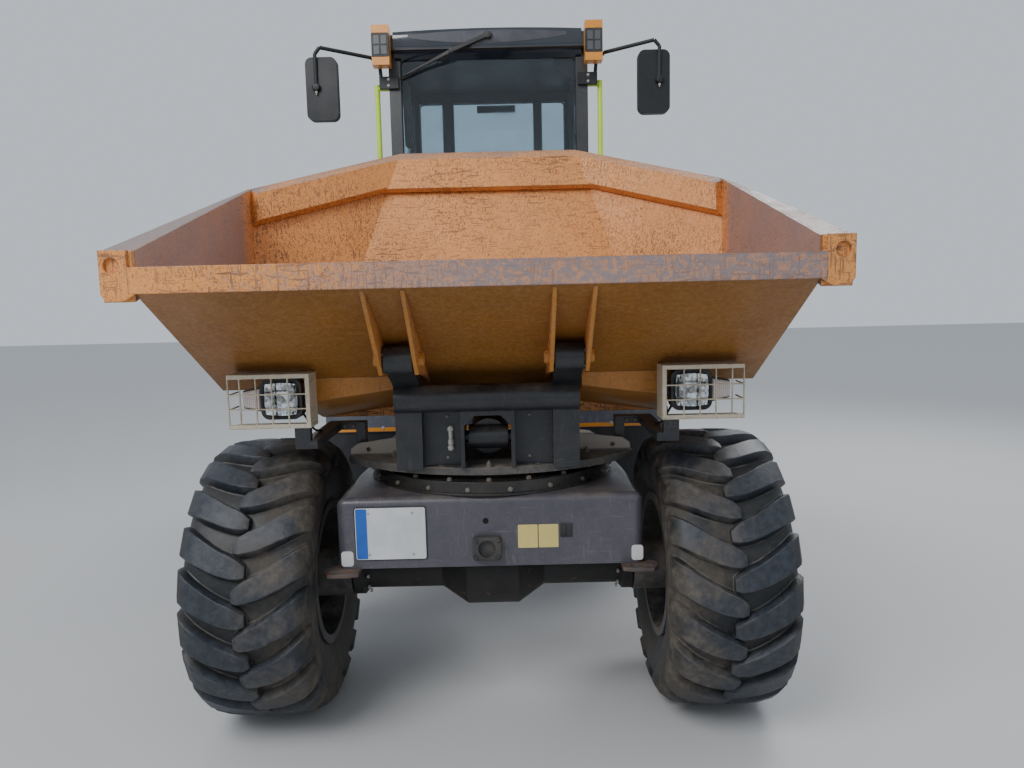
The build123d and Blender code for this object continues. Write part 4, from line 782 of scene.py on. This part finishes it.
shell_finish = skip_paint("skip_paint_scratched", walls=1.0)
coat(shell_finish, "skip_shell")
rim_band = skip_paint("skip_rim_paint", walls=1.0, all_round=1.0)
coat(rim_band, "skip_rim")
# Ribs and underframe take the underside's painted shade, in a lighter tone than the shell's outer faces.
outside_finish = skip_paint("skip_paint_outside", outside_shade_scale=1.75)
coat(outside_finish, "skip_ribs", "skip_underframe")
corner_finish = skip_paint("skip_paint_corners", all_round=1.0)
coat(corner_finish, "skip_corners")
lip_finish = skip_paint("skip_lip_worn", all_round=1.0, worn_from=-0.65, worn_to=0.15)
coat(lip_finish, "skip_lip")
pad_rubber = label_finish("pad_rubber", (0.022, 0.021, 0.020), 0.75, 0.5)
coat(pad_rubber, "skip_rest_pads")


# Tipping ram. A black barrel on trunnion pins with a hard-chromed rod under the skip's floor that
# pushes the skip up over its lip. The steering rams' rods are of the same chromed bar.
chrome, tree, shader = new_finish("rod_chrome_oiled")
film = use(tree, mottle, Scale=16.0, Low=0.35, High=0.7)
tree.links.new(blend_colour(tree, film, (0.62, 0.63, 0.65), (0.47, 0.46, 0.44)),
               shader.inputs["Base Color"])
tree.links.new(span(tree, film, 0, 1, 0.10, 0.30), shader.inputs["Roughness"])
shader.inputs["Metallic"].default_value = 1.0
coat(chrome, "tip_ram_rod", "steer_rod_left", "steer_rod_right")


# Lamps on the turntable. Cream-painted cages of flat bar and round wire guard black lamp boxes, each with
# a chromed, clear-fronted road lamp and a small pinkish-clear indicator beside it.
cream_finish = painted("cream_guard_paint", (0.60, 0.53, 0.40), under=(0.17, 0.10, 0.06), gloss=0.42,
                       edges=0.9, scuffs=0.35, chips=0.45, dusty=0.3, upright=0.2)
coat(cream_finish, "lamp_guards")
housing_plastic = painted("lamp_box_plastic", (0.018, 0.018, 0.020), under=(0.06, 0.06, 0.06), gloss=0.5,
                          edges=0.3, scuffs=0.2, chips=0.1, dusty=0.45, upright=0.3)
coat(housing_plastic, "road_lamps")


def clear_glass(name, tint, rough=0.03, coat_weight=0.0):
    """Clear moulded glass or plastic with a faint tint and a film of dust."""
    finish, tree, shader = new_finish(name)
    film = use(tree, mottle, Scale=7.0, Low=0.3, High=0.75)
    tree.links.new(blend_colour(tree, film, tint, [0.93 * c for c in tint]), shader.inputs["Base Color"])
    tree.links.new(span(tree, film, 0, 1, rough, rough + 0.07), shader.inputs["Roughness"])
    shader.inputs["Transmission Weight"].default_value = 1.0
    shader.inputs["IOR"].default_value = 1.45
    shader.inputs["Coat Weight"].default_value = coat_weight
    return finish


lens_glass = clear_glass("lamp_lens_clear", (0.94, 0.95, 0.96))
coat(lens_glass, "lamp_lenses")
reflector, tree, shader = new_finish("lamp_reflector")
# Dark and bright patches in the silvering stand in for the faceted reflector's reflections: painted reflection.
reflection_patches = use(tree, mottle, Scale=44.0, Low=0.42, High=0.58)
tree.links.new(blend_colour(tree, reflection_patches, (0.30, 0.32, 0.34), (0.94, 0.95, 0.96)),
               shader.inputs["Base Color"])
tree.links.new(span(tree, reflection_patches, 0, 1, 0.06, 0.16), shader.inputs["Roughness"])
shader.inputs["Metallic"].default_value = 1.0
bulb_warm, tree, shader = new_finish("bulb_cap")
frost = use(tree, mottle, Scale=60.0, Low=0.3, High=0.7)
tree.links.new(blend_colour(tree, frost, (0.85, 0.82, 0.74), (0.70, 0.68, 0.62)),
               shader.inputs["Base Color"])
tree.links.new(span(tree, frost, 0, 1, 0.15, 0.3), shader.inputs["Roughness"])
indicator_cover, tree, shader = new_finish("indicator_pinkish")
flutes = put(tree, "ShaderNodeTexWave", {"Scale": 42.0, "Distortion": 0.0,
                                         "Vector": put(tree, "ShaderNodeTexCoord").outputs["Object"]},
             wave_type="BANDS", bands_direction="X").outputs["Fac"]
tree.links.new(blend_colour(tree, flutes, (0.74, 0.66, 0.63), (0.52, 0.43, 0.41)),
               shader.inputs["Base Color"])
tree.links.new(span(tree, flutes, 0, 1, 0.12, 0.3), shader.inputs["Roughness"])
relief(tree, shader, flutes, 0.002, strength=0.6)
shader.inputs["Coat Weight"].default_value = 1.0


def bowl(name, middle, wide, deep, finish, body, facing=-1):
    """A shallow round-to-square reflector dish of flat facets that opens towards the front."""
    x, y, z = middle
    verts, faces = [], []
    rings, sides = 6, 24
    for r in range(rings + 1):
        share = r / rings
        for k in range(sides):
            a = 2 * pi * k / sides
            square = 1 / max(abs(cos(a)), abs(sin(a))) ** (0.75 * share)
            reach = wide / 2 * share * square
            verts.append((x + reach * cos(a), y + facing * deep * (share ** 2), z + reach * sin(a)))
    for r in range(rings):
        for k in range(sides):
            faces.append((r * sides + k, r * sides + (k + 1) % sides, (r + 1) * sides + (k + 1) % sides,
                          (r + 1) * sides + k))
    faces = faces[sides:]
    faces.append(tuple(range(sides, 2 * sides)))
    return piece(name, verts, faces, finish, body)


hose_rubber, tree, shader = new_finish("hose_rubber")
grey = use(tree, mottle, Scale=20.0, Low=0.3, High=0.7)
tree.links.new(blend_colour(tree, grey, (0.012, 0.012, 0.013), (0.040, 0.037, 0.034)),
               shader.inputs["Base Color"])
tree.links.new(span(tree, grey, 0, 1, 0.45, 0.7), shader.inputs["Roughness"])
relief(tree, shader, grey, 0.0006, strength=0.4)


def hose(name, points, thick, body):
    """A hydraulic hose or cable between two places on the object, on one smooth line."""
    curve = bpy.data.curves.new(name, "CURVE")
    curve.dimensions = "3D"
    curve.bevel_depth = thick / 2
    curve.bevel_resolution = 4
    curve.use_fill_caps = True
    line = curve.splines.new("NURBS")
    line.points.add(len(points) - 1)
    for spot, at in zip(line.points, points):
        spot.co = (*at, 1)
    line.order_u = 3
    line.use_endpoint_u = True
    line.resolution_u = 12
    made = bpy.data.objects.new(name, curve)
    bpy.context.scene.collection.objects.link(made)
    made.data.materials.append(hose_rubber)
    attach(made, body)
    depsgraph = bpy.context.evaluated_depsgraph_get()
    bare = curve.copy()
    bare.bevel_depth = 0
    probe = bpy.data.objects.new("probe", bare)
    bpy.context.scene.collection.objects.link(probe)
    depsgraph.update()
    mesh = bpy.data.meshes.new_from_object(probe.evaluated_get(depsgraph))
    bpy.data.objects.remove(probe)
    bpy.data.meshes.remove(mesh)
    return made


for side in (1, -1):
    hand = "left" if side > 0 else "right"
    bowl("reflector_" + hand, (side * 0.795, -1.8462, 1.390), 0.128, 0.0050, reflector, "turntable")
    verts, faces = [], []
    for k in range(24):
        a = 2 * pi * k / 24
        verts.append((side * 0.795 + 0.013 * cos(a), -1.8490, 1.390 + 0.013 * sin(a)))
        verts.append((side * 0.795 + 0.009 * cos(a), -1.8530, 1.390 + 0.009 * sin(a)))
    faces = [(2 * k, 2 * ((k + 1) % 24), 2 * ((k + 1) % 24) + 1, 2 * k + 1) for k in range(24)]
    faces += [tuple(range(0, 48, 2)), tuple(range(47, 0, -2))]
    piece("bulb_" + hand, verts, faces, bulb_warm, "turntable")
    outline = ((0.876, -0.041), (0.944, -0.029), (0.944, 0.029), (0.876, 0.041))
    verts = [(side * x, -1.8442, 1.390 + z) for x, z in outline]
    verts += [(side * (0.910 + 0.86 * (x - 0.910)), -1.8515, 1.390 + 0.84 * z) for x, z in outline]
    faces = [(k, (k + 1) % 4, 4 + (k + 1) % 4, 4 + k) for k in range(4)] + [(0, 1, 2, 3), (7, 6, 5, 4)]
    piece("indicator_cover_" + hand, verts, faces, indicator_cover, "turntable")
    arm_bolts = [(side * 0.6375, -1.4605, 1.214), (side * 0.600, -1.4605, 1.214)]
    verts, faces = hex_heads(arm_bolts, (0, -1, 0), 0.015, 0.009)
    piece("lamp_arm_bolts_" + hand, verts, faces, bolt_steel, "turntable")
    hose("lamp_cable_" + hand, [(side * 0.760, -1.788, 1.350), (side * 0.745, -1.760, 1.335),
                                (side * 0.715, -1.735, 1.270), (side * 0.706, -1.700, 1.236),
                                (side * 0.690, -1.660, 1.233)], 0.009, "turntable")


# Rear unit. The chassis rails, side tanks with their caps, the grey deck panel, steps and mudguards; the
# engine sits under an orange bonnet with louvres, and an iron counterweight with its tow pin closes the tail.
body_finish = painted("body_paint_orange", (0.78, 0.29, 0.025), under=(0.30, 0.17, 0.10), gloss=0.32,
                      edges=0.35, scuffs=0.18, chips=0.22, dusty=0.4, upright=0.12, dull=0.86, clear=0.35)
coat(body_finish, "bonnet", "roof_lamps")
panel_finish = painted("deck_panel_grey", (0.105, 0.118, 0.150), under=(0.30, 0.31, 0.34), gloss=0.42,
                       edges=0.5, scuffs=0.35, chips=0.22, dusty=0.5, upright=0.2)
coat(panel_finish, "deck_panel")
# The side tanks take the black frame paint as painted shade: they stand in the dark under the deck panel.
coat(frame_finish, "side_tanks")
engine_finish = casting("engine_iron", (0.12, 0.12, 0.13), (0.06, 0.05, 0.045), rusty=0.1, cake=0.5)
coat(engine_finish, "engine_block")
moulded_black = painted("moulded_black", (0.020, 0.020, 0.022), under=(0.06, 0.06, 0.06), gloss=0.50,
                        edges=0.25, scuffs=0.15, chips=0.05, dusty=0.26, upright=0.35)
coat(moulded_black, "rear_mudguards", "steering_column", "steering_wheel")
red_clear, tree, shader = new_finish("rear_lamp_red")
ribs = put(tree, "ShaderNodeTexWave", {"Scale": 60.0, "Distortion": 0.0,
                                       "Vector": put(tree, "ShaderNodeTexCoord").outputs["Object"]},
           wave_type="BANDS", bands_direction="X").outputs["Fac"]
tree.links.new(blend_colour(tree, ribs, (0.55, 0.012, 0.010), (0.38, 0.008, 0.008)),
               shader.inputs["Base Color"])
tree.links.new(span(tree, ribs, 0, 1, 0.12, 0.25), shader.inputs["Roughness"])
relief(tree, shader, ribs, 0.001, strength=0.5)
shader.inputs["Coat Weight"].default_value = 0.6
coat(red_clear, "rear_lamps")
tank_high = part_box("side_tanks")[1]


def turned(name, profile, middle, finish, body, slot, sides=32, axis="Z", smooth=40):
    """A turned part: radii and heights along an upright or lengthwise axis."""
    verts, faces = [], []
    for radius, lift in profile:
        for k in range(sides):
            a = 2 * pi * k / sides
            u, v, w = radius * cos(a), radius * sin(a), lift
            offset = {"X": (w, u, v), "Y": (u, w, v), "Z": (u, v, w)}[axis]
            verts.append(Vector(middle) + Vector(offset))
    rows = len(profile)
    for r in range(rows - 1):
        faces += [(r * sides + k, r * sides + (k + 1) % sides, (r + 1) * sides + (k + 1) % sides, (r + 1) * sides + k)
                  for k in range(sides)]
    faces += [tuple(range(sides)), tuple(range(rows * sides - 1, (rows - 1) * sides - 1, -1))]
    return piece(name, verts, faces, finish, body, smooth=smooth)


for side, label in ((1, "fuel"), (-1, "oil")):
    cap_profile = [(0.030, -0.001), (0.030, 0.010), (0.040, 0.012), (0.041, 0.028), (0.036, 0.034),
                   (0.010, 0.036)]
    turned(label + "_cap", [(radius, side * lift) for radius, lift in cap_profile], (side * tank_high.x,
                                                                                     0.225, 0.945),
           black_trim, "rear_unit", "black_plastic", axis="X")
panel_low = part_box("deck_panel")[0]
apron_bolts = [(x, panel_low.y - 0.0005, z) for x in (-1.02, -0.72, -0.36, 0.36, 0.72,
                                                      1.02) for z in (0.955,)]
verts, faces = hex_heads(apron_bolts, (0, -1, 0), 0.014, 0.007, washer=0.022)
piece("apron_bolts", verts, faces, bolt_finish, "rear_unit")
rounded_plate("apron_orange_strip", -1.075, 1.075, 0.932, 0.957, panel_low.y, 0.0015, 0.004, body_finish,
              "rear_unit")
bonnet_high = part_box("bonnet")[1]
latch_spots = [(side * (bonnet_high.x - 0.0005), y, 1.09) for side in (1, -1) for y in (1.25, 2.05)]
for index, (x, y, z) in enumerate(latch_spots):
    out = 1 if x > 0 else -1
    turned("bonnet_catch_%d" % index, [(0.026, -0.001 * out), (0.026, 0.006 * out), (0.020, 0.010 * out),
                                       (0.004, 0.011 * out)], (x, y, z), black_trim, "bonnet",
           "black_plastic", axis="X")


# Cab. A welded frame of black-painted section with tinted glass on rubber seals, hinged doors at the sides
# and a moulded roof with a grey lining. It stands on the rear unit.
cab_finish = painted("cab_frame_black", (0.030, 0.031, 0.034), under=(0.12, 0.12, 0.12), gloss=0.34,
                     edges=0.4, scuffs=0.2, chips=0.15, dusty=0.3, upright=0.12, clear=0.3)
coat(cab_finish, "cab_frame", "door_left", "door_right")
roof_finish = painted("cab_roof_moulded", (0.024, 0.025, 0.027), under=(0.07, 0.07, 0.07), gloss=0.40,
                      edges=0.2, scuffs=0.15, chips=0.05, dusty=0.22, upright=0.1)
coat(roof_finish, "cab_roof")
cab_tint = clear_glass("cab_glass_tinted", (0.60, 0.72, 0.78), 0.02)
coat(cab_tint, "cab_glass", "door_glass_left", "door_glass_right")
seal_rubber = label_finish("seal_rubber", (0.014, 0.014, 0.014), 0.65, 0.2)
screen_half, screen_low, screen_high = 0.530, 1.760, 3.190


def seal_loop(name, corners, wide, body):
    """A rubber seal of round section round a window, its corners rounded."""
    curve = bpy.data.curves.new(name, "CURVE")
    curve.dimensions = "3D"
    curve.bevel_depth = wide / 2
    curve.bevel_resolution = 3
    line = curve.splines.new("POLY")
    round_off = 0.035
    spots = []
    count = len(corners)
    for k in range(count):
        before, here, after = Vector(corners[k - 1]), Vector(corners[k]), Vector(corners[(k + 1) % count])
        start = here + (before - here).normalized() * round_off
        stop = here + (after - here).normalized() * round_off
        for step in range(6):
            t = step / 5
            spots.append(start * (1 - t) ** 2 + here * 2 * t * (1 - t) + stop * t ** 2)
    line.points.add(len(spots) - 1)
    for point, at in zip(line.points, spots):
        point.co = (*at, 1)
    line.use_cyclic_u = True
    made = bpy.data.objects.new(name, curve)
    bpy.context.scene.collection.objects.link(made)
    made.data.materials.append(seal_rubber)
    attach(made, body)
    return made


seal_loop("windscreen_seal", [(-screen_half, 0.033, screen_low), (screen_half, 0.033, screen_low),
                              (screen_half, 0.033, screen_high), (-screen_half, 0.033, screen_high)], 0.014,
          "rear_unit")
seal_loop("rear_window_seal", [(-screen_half, 1.052, 2.0), (screen_half, 1.052, 2.0), (screen_half, 1.052,
                                                                                       3.17),
                               (-screen_half, 1.052, 3.17)], 0.012, "rear_unit")
for side, hand in ((1, "left"), (-1, "right")):
    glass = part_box("door_glass_" + hand)
    x = side * max(abs(glass[0].x), abs(glass[1].x))
    for label, z0, z1 in (("upper", 1.800, 3.104), ("lower", 1.350, 1.740)):
        seal_loop("door_seal_%s_%s" % (label, hand), [(x, 0.171, z0), (x, 0.904, z0), (x, 0.904, z1), (x,
                                                                                                       0.171,
                                                                                                       z1)],
                  0.012, "door_" + hand)

screen_black, tree, shader = new_finish("screen_band_black")
smear = use(tree, mottle, Scale=6.0, Low=0.3, High=0.7)
tree.links.new(blend_colour(tree, smear, (0.006, 0.009, 0.016), (0.016, 0.022, 0.034)),
               shader.inputs["Base Color"])
tree.links.new(span(tree, smear, 0, 1, 0.06, 0.16), shader.inputs["Roughness"])
shader.inputs["Coat Weight"].default_value = 1.0
lining_grey, tree, shader = new_finish("roof_lining_grey")
nap = use(tree, mottle, Scale=9.0, Low=0.3, High=0.7)
tree.links.new(blend_colour(tree, nap, (0.046, 0.048, 0.058), (0.064, 0.066, 0.077)),
               shader.inputs["Base Color"])
tree.links.new(span(tree, nap, 0, 1, 0.35, 0.5), shader.inputs["Roughness"])
shader.inputs["Coat Weight"].default_value = 0.3


def arched_sheet(name, half_width, section, finish, steps=32, smooth=35):
    """A sheet across the cab whose section, a list of places in Y and Z, changes along X."""
    verts, faces = [], []
    for k in range(steps + 1):
        x = half_width * (2 * k / steps - 1)
        row = section(x / half_width)
        verts += [(x, y, z) for y, z in row]
    count = len(row)
    for k in range(steps):
        for j in range(count):
            faces.append((k * count + j, k * count + (j + 1) % count, (k + 1) * count + (j + 1) % count,
                          (k + 1) * count + j))
    faces += [tuple(range(count)), tuple(steps * count + j for j in reversed(range(count)))]
    return piece(name, verts, faces, finish, "rear_unit", smooth=smooth)


def brow_section(share):
    """From the windscreen's top edge forward and up over the roof's front, which is arched."""
    top = roof_high.z + 0.016 - 0.014 * share ** 2
    return [(0.026, 3.184), (0.000, 3.206), (-0.028, 3.228), (-0.0368, 3.250), (-0.0372, top - 0.007),
            (-0.033, top), (0.080, roof_high.z + 0.001), (0.080, roof_high.z - 0.004), (-0.0352, 3.300),
            (-0.0352, 3.238), (-0.020, 3.229), (0.024, 3.195)]


def lining_section(share):
    """The grey lining seen behind the screen's upper edge, deepest in the middle."""
    low = 3.258 + 0.036 * share ** 2
    high = roof_high.z + 0.003 - 0.018 * share ** 2
    return [(-0.0370, low), (-0.0384, low + 0.002), (-0.0384, high - 0.002), (-0.0370, high)]


roof_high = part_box("cab_roof")[1]
arched_sheet("roof_brow", 0.560, brow_section, screen_black)
arched_sheet("roof_lining_band", 0.470, lining_section, lining_grey)
for name, outline, y in (("corner_cover_right", ((-0.528, 3.188), (-0.490, 3.188), (-0.496, 3.110), (-0.528, 3.085)), 0.050),
                         ("corner_cover_left", ((0.400, 3.188), (0.528, 3.188), (0.528, 3.060), (0.500, 3.080),
                                                (0.385, 3.130)), 0.050),
                         ("inner_mirror", ((-0.527, 3.040), (-0.522, 2.700), (-0.510, 2.685), (-0.480, 2.690),
                                           (-0.474, 2.720), (-0.480, 3.040), (-0.490, 3.055), (-0.520, 3.055)), 0.075)):
    count = len(outline)
    verts = [(x, y, z) for x, z in outline] + [(x, y + 0.030, z) for x, z in outline]
    faces = [(k, (k + 1) % count, count + (k + 1) % count, count + k) for k in range(count)]
    faces += [tuple(range(count)), tuple(range(2 * count - 1, count - 1, -1))]
    piece(name, verts, faces, black_trim, "rear_unit")
for name, x0, x1, z0, z1 in (("rear_post_left", 0.300, 0.364, 1.985, 3.180), ("rear_post_right", -0.364, -0.280, 1.985, 3.180),
                             ("rear_window_latch", -0.110, 0.170, 3.100, 3.150)):
    rounded_plate(name, x0, x1, z0, z1, 1.0435, 0.018, 0.006, cab_finish, "rear_unit")


# Windscreen wiper. A long black pressed arm in two lengths turns on a spindle at the top of the screen
# and carries a rubber blade.
def bar_between(name, a, b, wide, thick, finish, body, narrow=1.0):
    """A flat tapering bar between two points on an upright face."""
    a, b = Vector(a), Vector(b)
    along = (b - a).normalized()
    out = Vector((0, -1, 0))
    across = along.cross(out).normalized()
    verts = []
    for spot, half in ((a, wide / 2), (a * 0.5 + b * 0.5, wide / 2 * (0.5 + 0.5 * narrow)), (b, wide / 2 * narrow)):
        verts += [spot - across * half, spot - across * half * 0.7 + out * thick, spot + across * half * 0.7 + out * thick,
                  spot + across * half]
    faces = []
    for r in (0, 1):
        faces += [(4 * r + j, 4 * r + (j + 1) % 4, 4 * r + 4 + (j + 1) % 4, 4 * r + 4 + j) for j in range(4)]
    faces += [(0, 1, 2, 3), (11, 10, 9, 8)]
    return piece(name, verts, faces, finish, body)


wiper_spindle = Vector((0.005, -0.0390, 3.301))
wiper_bend = Vector((-0.215, -0.0500, 3.214))
wiper_tip = Vector((-0.515, 0.0180, 3.094))
bar_between("wiper_arm", wiper_spindle + Vector((0, -0.012, 0)), wiper_bend, 0.030, 0.010, black_trim,
            "rear_unit", narrow=0.85)
bar_between("wiper_arm_outer", wiper_bend, wiper_tip, 0.0255, 0.008, black_trim, "rear_unit",
            narrow=0.45)
turned("wiper_spindle", [(0.024, 0.0), (0.024, -0.014), (0.018, -0.022), (0.004, -0.024)], wiper_spindle,
       black_trim, "rear_unit", "black_plastic", axis="Y")
turned("wiper_bend_clip", [(0.014, 0.002), (0.016, -0.006), (0.012, -0.013), (0.003, -0.014)], wiper_bend,
       black_trim, "rear_unit", "black_plastic", axis="Y", sides=16)
blade_start = Vector((-0.300, 0.0230, 3.166))
blade_end = Vector((-0.524, 0.0235, 3.078))
bar_between("wiper_blade", blade_start, blade_end, 0.013, 0.009, seal_rubber, "rear_unit")


# Seat. A driver's seat with crowned foam cushions in dark woven cloth, each sewn with two channels. It
# stands on a sprung base, which a folded black bellows covers.
seat_cloth, tree, shader = new_finish("seat_cloth_dark")
place = put(tree, "ShaderNodeTexCoord").outputs["Object"]
warp = put(tree, "ShaderNodeTexWave", {"Vector": place, "Scale": 160.0, "Distortion": 0.4},
           bands_direction="X").outputs["Fac"]
weft = put(tree, "ShaderNodeTexWave", {"Vector": place, "Scale": 160.0, "Distortion": 0.4},
           bands_direction="Z").outputs["Fac"]
weave = maths(tree, "MULTIPLY", maths(tree, "ADD", warp, weft), 0.5)
faded = use(tree, mottle, Scale=5.0, Low=0.3, High=0.7)
cloth = blend_colour(tree, weave, (0.018, 0.018, 0.020), (0.052, 0.052, 0.056))
tree.links.new(blend_colour(tree, maths(tree, "MULTIPLY", faded, 0.3), cloth, (0.075, 0.070, 0.064)),
               shader.inputs["Base Color"])
tree.links.new(span(tree, weave, 0, 1, 0.95, 0.8), shader.inputs["Roughness"])
relief(tree, shader, weave, 0.0012, strength=0.6)
shader.inputs["Sheen Weight"].default_value = 0.25
seat_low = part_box("seat")[0]


def cushion(name, low, high, tilt=0.0, crown=0.022, waist=0.012, channels=(), across="X"):
    """A crowned foam cushion in a box: bulged faces, pulled-in sides and sewn channels, its edge thinned."""
    low, high = Vector(low), Vector(high)
    middle, half = (low + high) / 2, (high - low) / 2
    thin = min(range(3), key=lambda k: half[k])
    wide = [k for k in range(3) if k != thin]
    grid = 28
    shell = bmesh.new()
    bmesh.ops.create_cube(shell, size=2)
    bmesh.ops.subdivide_edges(shell, edges=shell.edges[:], cuts=grid, use_grid_fill=True)
    for v in shell.verts:
        u, w, t = v.co[wide[0]], v.co[wide[1]], v.co[thin]
        edge_u, edge_w = 1 - u * u, 1 - w * w
        dome = max(0.0, edge_u * edge_w) ** 0.45
        corner = (abs(u) * abs(w)) ** 6
        seam = sum(max(0.0, 1 - abs((u if across == "X" else w) - c) / 0.06) for c in channels)
        lift = (half[thin] - crown) + crown * dome - 0.006 * seam * max(0.0, edge_u * edge_w) ** 0.2
        pull = 1 - 2 * waist * (1 - abs(t))
        round_u = u * (1 - 0.05 * w * w * abs(u)) - 0.03 * corner * u
        round_w = w * (1 - 0.05 * u * u * abs(w)) - 0.03 * corner * w
        flat_edge = 1 - 0.30 * max(abs(u), abs(w)) ** 10
        v.co[wide[0]] = round_u * half[wide[0]] * pull
        v.co[wide[1]] = round_w * half[wide[1]] * pull
        v.co[thin] = t * lift * flat_edge
    mesh = bpy.data.meshes.new(name)
    shell.to_mesh(mesh)
    shell.free()
    mesh.transform(Matrix.Translation(middle) @ Matrix.Rotation(tilt, 4, "X"))
    mesh.shade_smooth()
    made = bpy.data.objects.new(name, mesh)
    bpy.context.scene.collection.objects.link(made)
    made.data.materials.append(seat_cloth)
    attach(made, "rear_unit")
    return made


base = cushion("seat_cushion", (-0.240, 0.462, 1.560), (0.240, 0.930, 1.680), crown=0.030,
               channels=(-0.45, 0.45))
cushion("seat_back_cushion", (-0.225, 0.800, 1.690), (0.225, 0.905, 2.130), crown=0.028, channels=(-0.45,
                                                                                                   0.45),
        tilt=radians(-3))
verts, faces = [], []
fold_profile = [(0.205, seat_low.z + 0.002), (0.205, 1.200), (0.170, 1.215), (0.190, 1.250), (0.160,
                                                                                              1.285),
                (0.190, 1.320), (0.160, 1.355), (0.190, 1.390), (0.160, 1.425), (0.190, 1.460), (0.160,
                                                                                                 1.490),
                (0.225, 1.520), (0.225, 1.562)]
for reach, z in fold_profile:
    for k in range(40):
        a = 2 * pi * k / 40
        square = 1 / max(abs(cos(a)), abs(sin(a))) ** 0.8
        verts.append((reach * cos(a) * square, 0.695 + reach * sin(a) * square, z))
rows = len(fold_profile)
for r in range(rows - 1):
    faces += [(r * 40 + k, r * 40 + (k + 1) % 40, (r + 1) * 40 + (k + 1) % 40, (r + 1) * 40 + k) for k in range(40)]
faces += [tuple(range(40)), tuple(range(rows * 40 - 1, (rows - 1) * 40 - 1, -1))]
piece("seat_stand", verts, faces, moulded_black, "rear_unit", smooth=50)
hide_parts("seat")


# Handrails and mirrors. Yellow-green rails of bent tube stand at the cab's front corners. The mirrors'
# black moulded shells hang on tube arms bolted to the cab, and hold silvered glass that looks back.
rail_finish = painted("rail_yellow_green", (0.56, 0.82, 0.045), under=(0.22, 0.20, 0.12), gloss=0.38,
                      edges=0.25, scuffs=0.25, chips=0.2, dusty=0.2, upright=0.1, dull=0.85)
coat(rail_finish, "handrails")
mirror_shell = painted("mirror_shell_moulded", (0.006, 0.007, 0.010), under=(0.04, 0.04, 0.04),
                       gloss=0.50, edges=0.2, scuffs=0.12, chips=0.05, dusty=0.2, upright=0.05)
coat(mirror_shell, "mirrors")
silvered, tree, shader = new_finish("mirror_silvered")
haze = use(tree, mottle, Scale=11.0, Low=0.35, High=0.75)
tree.links.new(blend_colour(tree, haze, (0.86, 0.88, 0.90), (0.78, 0.80, 0.82)),
               shader.inputs["Base Color"])
tree.links.new(span(tree, haze, 0, 1, 0.02, 0.08), shader.inputs["Roughness"])
shader.inputs["Metallic"].default_value = 1.0
coat(silvered, "mirror_glass")
for side, hand in ((1, "left"), (-1, "right")):
    spots = [(side * 0.600, -0.0002, z) for z in (3.037, 3.073)]
    verts, faces = hex_heads(spots, (0, -1, 0), 0.012, 0.006, washer=0.018)
    piece("mirror_bracket_bolts_" + hand, verts, faces, bolt_finish, "rear_unit")
    clamp = (side * 1.004, -0.119, 3.002)
    turned("mirror_clamp_" + hand, [(0.024, 0.0), (0.024, -0.016), (0.018, -0.024), (0.005, -0.026)],
           clamp, mirror_shell, "rear_unit", "black_plastic", axis="Y", sides=20)
    verts, faces = hex_heads([(clamp[0], -0.131, 2.985)], (0, 0, -1), 0.013, 0.016, stud=0.008)
    piece("mirror_clamp_screw_" + hand, verts, faces, bolt_finish, "rear_unit")


# Roof-corner lamps. Orange caps above and below a black lamp with four square lights behind clear windows,
# bolted to the roof's front corners.
led_white, tree, shader = new_finish("led_window")
grid_mark = put(tree, "ShaderNodeTexBrick", {"Scale": 60.0, "Mortar Size": 0.04, "Vector": put(tree,
                                                                                               "ShaderNodeTexCoord").outputs["Object"]}).outputs["Fac"]
tree.links.new(blend_colour(tree, grid_mark, (0.20, 0.21, 0.23), (0.07, 0.075, 0.08)),
               shader.inputs["Base Color"])
tree.links.new(span(tree, grid_mark, 0, 1, 0.08, 0.25), shader.inputs["Roughness"])
relief(tree, shader, grid_mark, 0.0015, strength=0.5)
shader.inputs["Coat Weight"].default_value = 1.0
for side, hand in ((1, "left"), (-1, "right")):
    rounded_plate("roof_lamp_face_" + hand, side * 0.624 - 0.051, side * 0.624 + 0.051, 3.171, 3.304,
                  -0.105, 0.0102, 0.004, housing_plastic, "rear_unit")
    for column in (-1, 1):
        for row in (-1, 1):
            x, z = side * 0.624 + 0.0215 * column, 3.2375 + 0.0285 * row
            rounded_plate("roof_lamp_light_%s_%d%d" % (hand, column + 1, row + 1), x - 0.0165, x + 0.0165,
                          z - 0.024, z + 0.024, -0.1152, 0.002, 0.004, led_white, "rear_unit")
